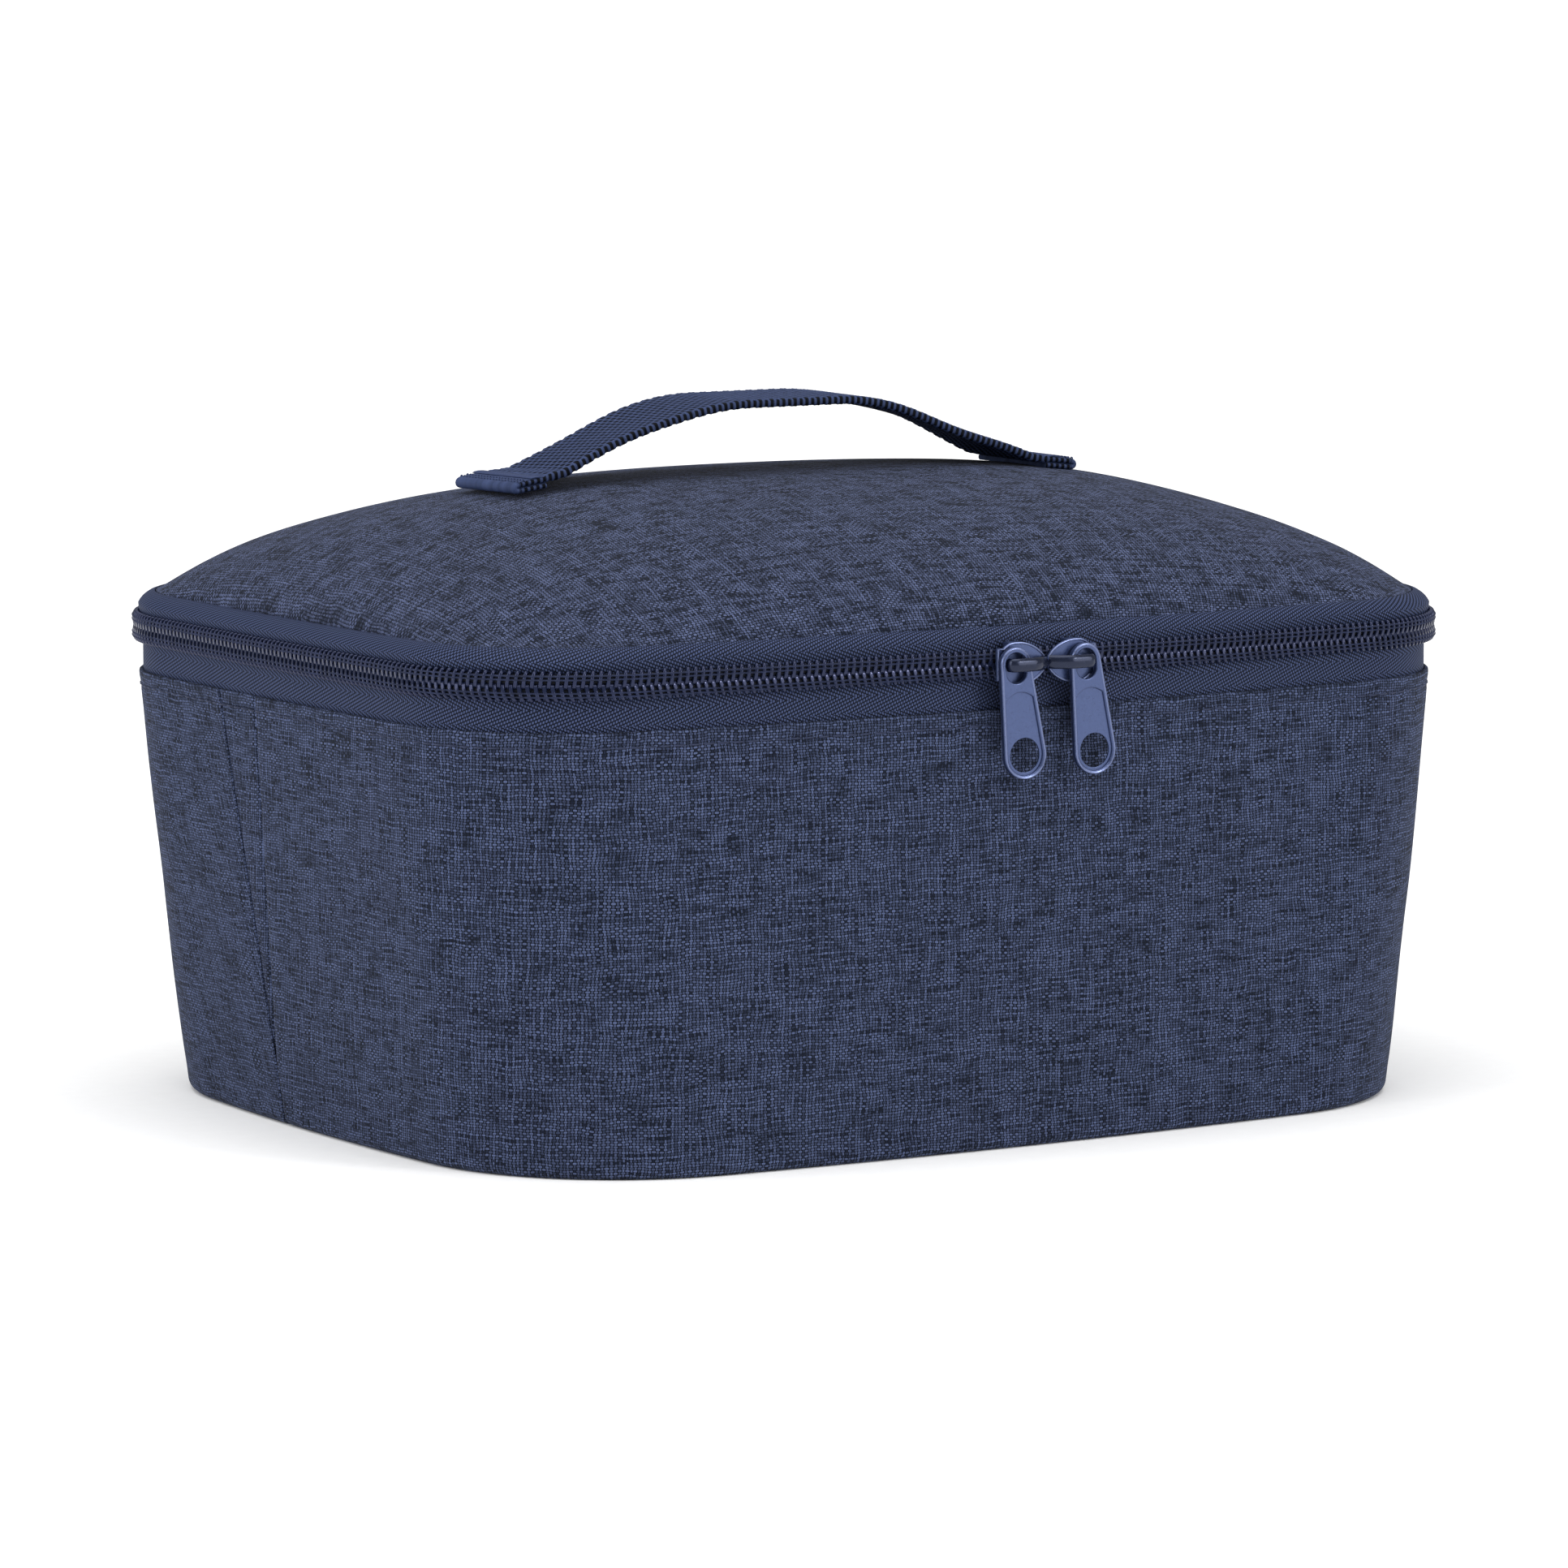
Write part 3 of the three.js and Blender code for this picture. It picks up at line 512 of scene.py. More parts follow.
@dataclass
class Skin:
    """A mesh in the making: points, faces and the cloth coordinates of each face corner."""

    points: list[Array] = field(default_factory=list)
    faces: list[list[int]] = field(default_factory=list)
    cloth: list[Array] = field(default_factory=list)
    count: int = 0

    def add(self, points: Array, faces: Array | list, cloth: Array) -> None:
        """Adds points, faces that number them from zero, and the corners' cloth coordinates.

        Args:
            points: Points in millimetres, one a row.
            faces: Point numbers of each face.
            cloth: Cloth coordinates of each face corner in turn, one a row.
        """
        self.points.append(np.asarray(points, float).reshape(-1, 3))
        self.faces.extend((faces + self.count).tolist() if isinstance(faces, np.ndarray)
                          else [[k + self.count for k in face] for face in faces])
        self.cloth.append(np.asarray(cloth, float).reshape(-1, 2))
        self.count += len(self.points[-1])

    def object(self, name: str, material: Material, sharp: float = 50.0) -> Object:
        """Makes the Blender object.

        Args:
            name: The piece's name.
            material: Its finish.
            sharp: Edges that turn by more than this many degrees stay sharp.

        Returns:
            The new object, linked to the scene.
        """
        mesh = bpy.data.meshes.new(name)
        mesh.from_pydata((np.concatenate(self.points) * METRES).tolist(), [], self.faces)
        layer = mesh.uv_layers.new(name=CLOTH_MAP)
        layer.data.foreach_set("uv", np.concatenate(self.cloth).ravel())
        mesh.polygons.foreach_set("use_smooth", [True] * len(mesh.polygons))
        mesh.set_sharp_from_angle(angle=math.radians(sharp))
        mesh.materials.append(material)
        mesh.update()
        made = bpy.data.objects.new(name, mesh)
        bpy.context.scene.collection.objects.link(made)
        return made


def sheet_skin(outer: Array, inner: Array, cloth: Array, wrap: bool = False) -> Skin:
    """Makes a closed shell between two grids of points.

    Columns run along and rows up, so that column step cross row step points out of the outer grid.

    Args:
        outer: Points of the outer face, as rows by columns by three.
        inner: Points of the inner face, in the same order.
        cloth: Cloth coordinates, as rows by columns by two, with one column more where the grid wraps.
        wrap: Whether the last column joins the first.

    Returns:
        The shell's mesh in the making.
    """
    rows, columns = outer.shape[:2]
    steps = columns if wrap else columns - 1
    r, c = cells(rows - 1, steps)
    line, ends = np.arange(steps), np.arange(rows - 1)
    none, last = np.zeros(steps, int), np.full(steps, rows - 1)
    quads = [  # (layer, row, column) of each corner
        [(0, r, c), (0, r, c + 1), (0, r + 1, c + 1), (0, r + 1, c)],
        [(1, r, c), (1, r + 1, c), (1, r + 1, c + 1), (1, r, c + 1)],
        [(0, none, line), (1, none, line), (1, none, line + 1), (0, none, line + 1)],
        [(0, last, line), (0, last, line + 1), (1, last, line + 1), (1, last, line)],
    ]
    if not wrap:
        first, final = np.zeros(rows - 1, int), np.full(rows - 1, columns - 1)
        quads.append([(0, ends, first), (0, ends + 1, first), (1, ends + 1, first), (1, ends, first)])
        quads.append([(0, ends, final), (1, ends, final), (1, ends + 1, final), (0, ends + 1, final)])
    faces = [np.stack([(layer * rows + row) * columns + column % columns for layer, row, column in quad], 1)
             for quad in quads]
    corners = [np.stack([cloth[row, column] for _, row, column in quad], 1).reshape(-1, 2) for quad in quads]
    skin = Skin()
    skin.add(np.concatenate([outer.reshape(-1, 3), inner.reshape(-1, 3)]), np.concatenate(faces),
             np.concatenate(corners))
    return skin


def tube_skin(skin: Skin, path: Array, towards: Array, wide: float | Array, high: float | Array, sides: int,
              loop: bool = False) -> Skin:
    """Adds a tube of oval section round a path.

    Args:
        skin: The mesh that gets the tube.
        path: Points of its middle line.
        towards: The direction of the section's high axis, at each point or for all.
        wide: Half width of the section across that direction.
        high: Half height of the section along it.
        sides: Points round the section.
        loop: Whether the end joins the start.

    Returns:
        The same mesh.
    """
    step = np.roll(path, -1, 0) - np.roll(path, 1, 0) if loop else np.gradient(path, axis=0)
    tangent = unit(step)
    up = unit(towards - (towards * tangent).sum(1, keepdims=True) * tangent)
    side = np.cross(tangent, up)
    turn = np.arange(sides) * 2 * math.pi / sides
    size = len(path)
    wide, high = np.broadcast_to(wide, size), np.broadcast_to(high, size)
    points = (path[:, None] + side[:, None] * (np.cos(turn) * wide[:, None])[..., None]
              + up[:, None] * (np.sin(turn) * high[:, None])[..., None])
    r, c = cells(size if loop else size - 1, sides)
    corners = [(r, c), (r, c + 1), (r + 1, c + 1), (r + 1, c)]
    faces = np.stack([(row % size) * sides + column % sides for row, column in corners], 1)
    run = run_along(np.concatenate([path, path[:1]]))
    girth = 2 * math.pi * float(np.mean(wide)) / sides
    cloth = np.stack([np.stack([run[row], column * girth], 1) for row, column in corners], 1)
    skin.add(points, faces, cloth)
    if not loop:
        for ring, order in ((0, -1), (size - 1, 1)):
            start = skin.count - (size - ring) * sides
            skin.faces.append([start + k for k in range(sides)][::order])
            skin.cloth.append(np.tile([[run[ring], 0.0]], (sides, 1)))
    return skin


def stitches(skin: Skin, middles: Array, along: Array, out: Array, length: float, radius: float) -> Skin:
    """Adds short stitches whose ends sink into the cloth.

    Args:
        skin: The mesh that gets them.
        middles: The middle of each stitch.
        along: The direction of the stitches, for each or for all.
        out: The cloth's outward direction, for each or for all.
        length: Length of a stitch.
        radius: Radius of the thread.

    Returns:
        The same mesh.
    """
    # Rings of six points at these shares of the length, with their girth and how far they sink
    sides, shares = 6, np.array([-0.5, -0.38, -0.15, 0.15, 0.38, 0.5])
    girth = radius * np.array([0.55, 0.95, 1.0, 1.0, 0.95, 0.55])
    sink = radius * (1.1 - 6.6 * shares ** 2)
    along, out = [unit(np.broadcast_to(np.asarray(way, float), middles.shape)) for way in (along, out)]
    across = np.cross(along, out)
    turn = np.arange(sides) * 2 * math.pi / sides
    ring = middles[:, None] + along[:, None] * (shares * length)[:, None] + out[:, None] * sink[:, None]
    points = (ring[:, :, None] + across[:, None, None] * (np.cos(turn) * girth[:, None])[..., None]
              + out[:, None, None] * (np.sin(turn) * girth[:, None])[..., None])
    count, rings = len(middles), len(shares)
    r, c = cells(rings - 1, sides)
    corners = [(r, c), (r + 1, c), (r + 1, c + 1), (r, c + 1)]
    one = np.stack([row * sides + column % sides for row, column in corners], 1)
    cloth = np.stack([np.stack([shares[row] * length, column * radius], 1) for row, column in corners], 1)
    faces = (one[None] + (np.arange(count) * rings * sides)[:, None, None]).reshape(-1, 4)
    start = skin.count
    skin.add(points, faces, np.tile(cloth.reshape(-1, 2), (count, 1)))
    for low in start + np.arange(count) * rings * sides:
        skin.faces.append((low + np.arange(sides)).tolist())
        skin.faces.append((low + (rings - 1) * sides + np.arange(sides))[::-1].tolist())
    skin.cloth.append(np.zeros((2 * count * sides, 2)))
    return skin


def dress(piece: Object, body: str, slot: str, *nodes: str) -> Object:
    """Gives a piece its body, hides the CAD nodes that it stands for and logs the record's slot of its
    finish.

    Args:
        piece: The new object.
        body: The CAD body that it moves with.
        slot: The record's slot of its finish.
        nodes: The CAD nodes that it replaces.

    Returns:
        The same object.
    """
    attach(piece, body)
    if nodes:
        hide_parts(*nodes)
    log.info("%s rides %s in %s", piece.name, body, slot)
    return piece


# Shape of the bag


@dataclass(frozen=True)
class Plan:
    """Outline of the wall in plan: front and back arcs, side arcs and rounded corners that touch without a
    kink. The sizes go evenly from the floor's to the hem's and stay as they are above the hem: length,
    depth, the radii of front, side and corner, and how far the outline is shifted in y."""

    hem: float = 101.1
    floor: tuple[float, ...] = (261.2, 210.0, 1091.0, 753.0, 53.0, -1.2)
    top: tuple[float, ...] = (277.0, 211.0, 954.5, 1734.5, 42.5, 0.0)

    def sizes(self, z: Array) -> list[Array]:
        """Gives length, depth, front arc, side arc, corner and shift at each height."""
        share = np.clip(np.asarray(z, float) / self.hem, 0, 1)
        return [low + (high - low) * share for low, high in zip(self.floor, self.top)]

    def arcs(self, z: Array) -> tuple[Array, ...]:
        """Works out the arcs of the quarter between the front's middle and the right side's.

        Args:
            z: Heights.

        Returns:
            The front centre's y, the side centre's x, the corner centre's x and y, and the angles where the
            corner starts and ends.
        """
        length, depth, front_arc, side_arc, corner, _ = self.sizes(z)
        front_y, side_x = front_arc - depth / 2, length / 2 - side_arc
        to_front, to_side = front_arc - corner, side_arc - corner
        apart = np.hypot(side_x, front_y)
        along = (to_front ** 2 - to_side ** 2 + apart ** 2) / (2 * apart)
        across = np.sqrt(to_front ** 2 - along ** 2)
        ux, uy = side_x / apart, -front_y / apart
        corner_x, corner_y = ux * along - uy * across, front_y + uy * along + ux * across
        start = np.arctan2(corner_y - front_y, corner_x)
        end = np.arctan2(corner_y, corner_x - side_x)
        return front_y, side_x, corner_x, corner_y, start, end

    def lengths(self, z: Array) -> tuple[Array, Array, Array]:
        """Gives the distance along to the corner's start, to its end and to the side's middle."""
        _, _, front_arc, side_arc, corner, _ = self.sizes(z)
        _, _, _, _, start, end = self.arcs(z)
        one = front_arc * (start + math.pi / 2)
        two = one + corner * (end - start)
        return one, two, two - side_arc * end

    def whole(self, z: float | None = None) -> float:
        """Gives the distance all the way round at a height, or else at the hem."""
        return 4 * float(self.lengths(self.hem if z is None else z)[2])

    def place(self, along: Array, z: Array, inset: Array) -> tuple[Array, Array]:
        """Finds points of the wall, or of a layer parallel to it.

        Args:
            along: Distances along the outer face from the middle of the front.
            z: Heights.
            inset: Distances inwards from the outer face.

        Returns:
            The points, and the outward directions there.
        """
        along, z, inset = np.broadcast_arrays(*[np.asarray(value, float) for value in (along, z, inset)])
        _, _, front_arc, side_arc, corner, shift = self.sizes(z)
        front_y, side_x, corner_x, corner_y, start, end = self.arcs(z)
        one, two, three = self.lengths(z)
        whole = 4 * three
        wrapped = (along + whole / 2) % whole - whole / 2
        right = np.where(wrapped < 0, -1.0, 1.0)
        run = np.abs(wrapped)
        behind = run > three
        run = np.where(behind, 2 * three - run, run)
        in_front, in_side = run < one, run > two
        turn = np.where(in_front, run / front_arc - math.pi / 2,
                        np.where(in_side, end + (run - two) / side_arc, start + (run - one) / corner))
        radius = np.where(in_front, front_arc, np.where(in_side, side_arc, corner)) - inset
        centre_x = np.where(in_front, 0.0, np.where(in_side, side_x, corner_x))
        centre_y = np.where(in_front, front_y, np.where(in_side, 0.0, corner_y))
        nx, ny = np.cos(turn) * right, np.sin(turn) * np.where(behind, -1.0, 1.0)
        x = centre_x * right + radius * nx
        y = centre_y * np.where(behind, -1.0, 1.0) + radius * ny + shift
        return np.stack([x, y, z], -1), np.stack([nx, ny, np.zeros_like(nx)], -1)

    def along_side(self, y: Array, z: Array) -> Array:
        """Gives the distance along to the place on the right side that has this y."""
        _, _, _, side_arc, _, shift = self.sizes(z)
        end = self.arcs(z)[-1]
        return self.lengths(z)[1] + side_arc * (np.arcsin((y - shift) / side_arc) - end)

    def stations(self, z: float, inset: float, start: float, end: float, pitch: float) -> Array:
        """Spaces points evenly on a parallel line.

        Args:
            z: Height.
            inset: Inset of the parallel line.
            start: Distance along the wall's face where it starts.
            end: Distance along where it ends.
            pitch: Wanted spacing on the parallel line.

        Returns:
            Distances along of the points, both ends included.
        """
        fine = np.linspace(start, end, 4001)
        run = run_along(self.place(fine, z, inset)[0])
        return np.interp(np.linspace(0, run[-1], int(round(run[-1] / pitch)) + 1), run, fine)


@dataclass(frozen=True)
class Waves:
    """Slow, small unevenness of sewn cloth, summed from a few seeded waves."""

    seed: int
    height: float
    longest: float
    shortest: float
    count: int = 14

    def at(self, u: Array, v: Array) -> Array:
        """Gives the height at each place.

        Args:
            u: First coordinates.
            v: Second coordinates.

        Returns:
            Heights, mostly within plus or minus the wave height.
        """
        random = np.random.default_rng(self.seed)
        total = np.zeros(np.broadcast(u, v).shape)
        for _ in range(self.count):
            length = random.uniform(self.shortest, self.longest)
            turn, phase = random.uniform(0, math.pi), random.uniform(0, 2 * math.pi)
            total = total + (length / self.longest) * np.sin(
                2 * math.pi * (u * math.cos(turn) + v * math.sin(turn)) / length + phase)
        return total * self.height / math.sqrt(self.count / 2)


@dataclass
class PressedCloth:
    """Cloth that the foam behind it presses out between its seams, found by simulating the flat sheet."""

    name: str
    low: tuple[float, float]
    high: tuple[float, float]
    cells: tuple[int, int]
    cap: float
    held: Callable[[Array, Array], Array]
    pressure: float = 4.0
    slack: float = 0.012
    frames: int = 20
    unevenness: float = 0.05
    seed: int = 7

    def __post_init__(self) -> None:
        self.heights = np.zeros((self.cells[1] + 1, self.cells[0] + 1))
        self.simulate()

    def simulate(self) -> None:
        """Runs the simulation and keeps the sheet's heights, scaled down to the cap where they pass it."""
        across, up = self.cells
        u, v = np.meshgrid(*[np.linspace(low, high, count + 1)
                             for low, high, count in zip(self.low, self.high, self.cells)])
        start = np.random.default_rng(self.seed).uniform(0, self.unevenness, u.shape)
        points = np.stack([u, v, start], -1).reshape(-1, 3) * METRES
        row, column = cells(up, across)
        first = row * (across + 1) + column
        faces = np.stack([first, first + 1, first + across + 2, first + across + 1], 1)
        mesh = bpy.data.meshes.new("pressed_" + self.name)
        mesh.from_pydata(points.tolist(), [], faces.tolist())
        sheet = bpy.data.objects.new("pressed_" + self.name, mesh)
        bpy.context.scene.collection.objects.link(sheet)
        pins = sheet.vertex_groups.new(name="held")
        pins.add(np.flatnonzero(self.held(u, v).ravel()).tolist(), 1.0, "REPLACE")
        cloth = sheet.modifiers.new("cloth", "CLOTH")
        settings = cloth.settings
        settings.quality, settings.mass = 6, 0.2
        settings.tension_stiffness = settings.compression_stiffness = 20
        settings.shear_stiffness, settings.bending_stiffness = 8, 1.5
        settings.vertex_group_mass = "held"
        settings.use_pressure, settings.uniform_pressure_force = True, self.pressure
        settings.shrink_min = -self.slack
        settings.effector_weights.gravity = 0
        cloth.point_cache.frame_start, cloth.point_cache.frame_end = 1, self.frames
        for moment in range(1, self.frames + 1):
            bpy.context.scene.frame_set(moment)
        shaped = sheet.evaluated_get(bpy.context.evaluated_depsgraph_get()).to_mesh()
        places = np.empty(len(shaped.vertices) * 3)
        shaped.vertices.foreach_get("co", places)
        height = places.reshape(-1, 3)[:, 2].reshape(u.shape) / METRES
        log.info("cloth of %s rises %.2f to %.2f mm", self.name, height.min(), height.max())
        self.heights = height * min(1.0, self.cap / max(float(np.abs(height).max()), 1e-6))
        bpy.data.objects.remove(sheet)
        bpy.data.meshes.remove(mesh)
        bpy.context.scene.frame_set(1)

    def at(self, u: Array, v: Array) -> Array:
        """Reads the heights smoothly.

        Args:
            u: First coordinates.
            v: Second coordinates.

        Returns:
            Heights in millimetres.
        """
        rows, columns = self.heights.shape
        x = np.clip((u - self.low[0]) / (self.high[0] - self.low[0]) * (columns - 1), 1, columns - 2.001)
        y = np.clip((v - self.low[1]) / (self.high[1] - self.low[1]) * (rows - 1), 1, rows - 2.001)
        i, j = np.rint(x).astype(int), np.rint(y).astype(int)
        a, b = x - i, y - j
        weights = [(0.5 * (0.5 - t) ** 2, 0.75 - t ** 2, 0.5 * (0.5 + t) ** 2) for t in (a, b)]
        return sum(weights[1][m] * weights[0][n] * self.heights[j + m - 1, i + n - 1]
                   for m in range(3) for n in range(3))


PLAN = Plan()


@dataclass(frozen=True)
class Layers:
    """Thicknesses and heights that the sub-assemblies share."""

    fabric: float = 0.9
    foam: float = 5.0
    lining: float = 0.5
    gap: float = 0.3
    base_reach: float = 5.4
    base_round: float = 2.2
    lap: float = 5.0
    zip_rise: float = 10.5
    tape_inset: float = 1.2
    tape: float = 0.7
    row_gap: float = 1.2
    hinge: float = 150.0
    rim_rise: float = 8.1
    rim_roll: float = 2.9
    rim_reach: float = 4.0
    board: float = 1.5

    @property
    def zip(self) -> float:
        """Height of the coil's middle line."""
        return PLAN.hem + self.zip_rise

    @property
    def rim(self) -> float:
        """Height of the lid's rim."""
        return self.zip + self.rim_rise

    @property
    def foam_inset(self) -> float:
        """Inset of the foam's outer face."""
        return self.fabric + self.gap

    @property
    def lining_inset(self) -> float:
        """Inset of the lining's hidden face."""
        return self.foam_inset + self.foam + self.gap

    @property
    def inner(self) -> float:
        """Inset of the lining's inner face."""
        return self.lining_inset + self.lining

    @property
    def board_top(self) -> float:
        """Height of the stiffener's top."""
        return self.fabric + self.gap + self.board

    @property
    def floor_foam_top(self) -> float:
        """Height of the floor foam's top."""
        return self.board_top + self.gap + self.foam

    @property
    def floor_top(self) -> float:
        """Height of the lined floor."""
        return self.floor_foam_top + self.gap + self.lining


LAYERS = Layers()


@dataclass
class Walls:
    """The wall's sewn shell: front panel, back panel, a tuck on each side, their seams and the hem."""

    finishes: Finishes
    seam_top: float = 26.8
    seam_bottom: float = 10.3
    tuck_top: float = 9.0
    tuck_start: float = 14.0
    tuck_recess: float = 0.35
    seam_gap: float = 0.12
    fold_gap: float = 0.45
    fold_depth: float = 0.75
    seam_depth: float = 0.1
    edge_round: float = 0.9
    # Shares of the rounded edge where extra columns stand, and how fast the relief sets in beside it
    edge_shares: tuple[float, ...] = (0.2, 0.5, 1.0)
    edge_calm: float = 5.0
    thinnest: float = 0.3
    # Distances of the last rows below the hem, and the insets of three of them that round its edge
    hem_rows: tuple[float, ...] = (5, 4.2, 3.5, 2.8, 1.6, 0.7, 0.2, 0)
    hem_insets: tuple[float, ...] = (0.02, 0.15, 0.4)
    step: float = 2.0
    bend: float = 0.16
    bend_power: float = 6.0
    held: float = 7.0
    waves: Waves = Waves(5, 0.12, 90, 26)
    # The unevenness fades over these distances above the floor and below the hem, and its waves lie flat
    fades: tuple[float, float] = (14.0, 12.0)
    flatness: float = 1.6
    groove: float = 0.2
    groove_width: float = 0.8
    seam_ridge: tuple[float, tuple[float, float]] = (0.3, (0.42, 0.35))
    fold_strip: tuple[float, tuple[float, float]] = (1.0, (0.7, 0.15))
    stitch_drop: float = 3.5
    stitch_length: float = 3.0
    stitch_pitch: float = 3.6
    stitch_sunk: float = 0.28
    thread: float = 0.24
    puff: float = 0.5
    pressed: PressedCloth | None = None

    def seam_y(self, z: Array) -> Array:
        """Gives the side seam's y at each height."""
        return self.seam_bottom + (self.seam_top - self.seam_bottom) * np.asarray(z, float) / PLAN.hem

    def tuck_y(self, z: Array) -> Array:
        """Gives the tuck's fold at each height, which meets the seam where the tuck starts."""
        start = self.seam_y(self.tuck_start)
        share = np.clip((np.asarray(z, float) - self.tuck_start) / (PLAN.hem - self.tuck_start), 0, 1)
        bent = share + self.bend * np.sin(math.pi * share) * share ** self.bend_power
        slanted = start + (self.tuck_top - start) * bent
        return np.where(np.asarray(z) > self.tuck_start, slanted, self.seam_y(z))

    def profile(self) -> tuple[Array, Array]:
        """Gives the wall's outer and inner faces as (inset, height) points, from the floor up to the hem."""
        roll = np.radians(np.linspace(90, 0, 9))
        turned = [np.stack([LAYERS.base_round - r * np.cos(roll), LAYERS.base_round - r * np.sin(roll)], 1)
                  for r in (LAYERS.base_round, LAYERS.base_round - LAYERS.fabric)]
        upright = np.arange(LAYERS.base_round + 1.2, PLAN.hem - self.hem_rows[0], self.step)
        upright = np.concatenate([upright, PLAN.hem - np.array(self.hem_rows)])
        faces = []
        for curve, inset in zip(turned, (0.0, LAYERS.fabric)):
            under = [(LAYERS.base_reach, inset), ((LAYERS.base_reach + LAYERS.base_round) / 2, inset)]
            faces.append(np.concatenate([under, curve, np.stack([np.full_like(upright, inset), upright], 1)]))
            faces[-1][:, 1] += 0.02 * (faces[-1][:, 1] < 1)
        faces[0][-3:, 0] = self.hem_insets
        return faces[0], faces[1]

    def relief(self, along: Array, z: Array) -> Array:
        """Gives how far the cloth stands out: pressed out, uneven, and drawn in at the topstitching."""
        rise = ease(z / self.fades[0]) * ease((PLAN.hem - z) / self.fades[1])
        waves = self.waves.at(along, z * self.flatness)
        drawn = np.exp(-((z - (PLAN.hem - self.stitch_drop)) / self.groove_width) ** 2)
        return self.pressed.at(along, z) + rise * waves - self.groove * drawn

    def panel(self, name: str, left: Array, right: Array, recess: float, depths: tuple[float, float],
              *nodes: str) -> Object:
        """Makes a panel of the wall between two seam lines.

        Args:
            name: The piece's name.
            left: Distance along at each row of the profile where the panel starts.
            right: Distance along where it ends.
            recess: How far its face lies in from the wall's.
            depths: How deep its left and right edges sink into their seams.
            nodes: The CAD nodes that it replaces.

        Returns:
            The panel.
        """
        (inset, z), (inner_inset, inner_z) = [face.T for face in self.profile()]
        columns = max(int(np.max(right - left) / self.step), 6) + 1
        share = np.linspace(0, 1, columns)
        # Extra columns beside the seams carry the rounded edges
        edge = self.edge_round / np.max(right - left)
        extra = np.array(self.edge_shares) * edge
        share = np.unique(np.concatenate([share, extra, 1 - extra]))
        along = left[:, None] + (right - left)[:, None] * share
        height = np.broadcast_to(z[:, None], along.shape)
        near = [along - left[:, None], right[:, None] - along]
        rounding = sum(depth * (1 - ease(gap / self.edge_round)) for depth, gap in zip(depths, near))
        half = PLAN.lengths(height)[2]
        mirrored = np.where(np.abs(along) > half, 2 * half - np.abs(along), np.abs(along)) * np.sign(along)
        calm = ease(np.minimum(*near) / self.edge_calm) * (inset[:, None] < 0.01)
        face = inset[:, None] + recess + rounding - self.relief(mirrored, height) * calm
        outer, _ = PLAN.place(along, height, face)
        behind = np.maximum(inner_inset[:, None], face + self.thinnest)
        inner, _ = PLAN.place(along, inner_z[:, None], behind)
        skin = sheet_skin(outer, inner, np.stack([along, height], -1))
        return dress(skin.object(name, self.finishes.melange), "base", "melange", *nodes)

    def build(self) -> None:
        """Makes the four panels, the cloth in their seams and folds, and the hem's topstitching."""
        z = self.profile()[0][:, 1]
        half, fold_half = self.seam_gap / 2, self.fold_gap / 2
        seam = PLAN.along_side(self.seam_y(z), z)
        fold = PLAN.along_side(self.tuck_y(z), z)
        whole = 4 * PLAN.lengths(z)[2]
        reach = float(np.max(whole)) / 4
        line_z = np.linspace(0, PLAN.hem, 30)
        seams = PLAN.along_side(self.seam_y(line_z), line_z)

        def held(u: Array, v: Array) -> Array:
            """Tells where the floor's edge, the hem, the side seams and the sheet's ends hold the cloth."""
            near_seam = np.abs(np.abs(u) - np.interp(v, line_z, seams)) < 5
            return (v < self.held) | (v > PLAN.hem - self.held) | near_seam | (np.abs(u) > reach - 1)

        self.pressed = PressedCloth("wall", (-reach, 0.0), (reach, PLAN.hem), (74, 20), self.puff, held)
        fold_depths, seam_depths = (self.fold_depth,) * 2, (self.seam_depth,) * 2
        self.panel("front_wall", -fold + fold_half, fold - fold_half, 0.0, fold_depths, "wall_front_panel")
        self.panel("back_wall", seam + half, whole - seam - half, 0.0, seam_depths, "wall_back_panel")
        for side in Side:
            name = side.name.lower()
            start, end = np.minimum(fold + fold_half, seam - half), seam - half
            start, depths = np.minimum(start, end - 0.05), (self.fold_depth / 2, self.seam_depth)
            if side is Side.LEFT:
                start, end, depths = -end, -start, depths[::-1]
            self.panel("side_tuck_" + name, start, end, self.tuck_recess, depths, "side_pleat_" + name)
            self.ridge("side_seam_" + name, side, self.seam_y, *self.seam_ridge)
            self.ridge("side_fold_" + name, side, self.tuck_y, *self.fold_strip)
        self.topstitching()

    def ridge(self, name: str, side: Side, line: Callable[[Array], Array], inset: float,
              size: tuple[float, float]) -> None:
        """Makes the ridge of cloth that stands in the slanted seam, or the cloth at the bottom of the fold.

        Args:
            name: The piece's name.
            side: The side of the bag.
            line: Gives the seam's or the fold's y at each height.
            inset: How far its middle lies in from the wall's face.
            size: Half its width and half its depth.
        """
        z = np.arange(LAYERS.base_round, PLAN.hem - 0.4, 1.0)
        along = side.value * PLAN.along_side(line(z), z)
        path, normal = PLAN.place(along, z, inset)
        made = tube_skin(Skin(), path, normal, *size, 8).object(name, self.finishes.melange)
        dress(made, "base", "melange")

    def topstitching(self) -> None:
        """Sews the row of stitches below the hem's edge."""
        z = PLAN.hem - self.stitch_drop
        stations = PLAN.stations(z, 0, 0, PLAN.whole(z), self.stitch_pitch)[:-1]
        middles, normal = PLAN.place(stations, z, self.stitch_sunk)
        along = np.cross(np.array([0.0, 0.0, 1.0]), normal)
        made = stitches(Skin(), middles, along, normal, self.stitch_length, self.thread).object(
            "hem_topstitching", self.finishes.thread)
        dress(made, "base", "melange")


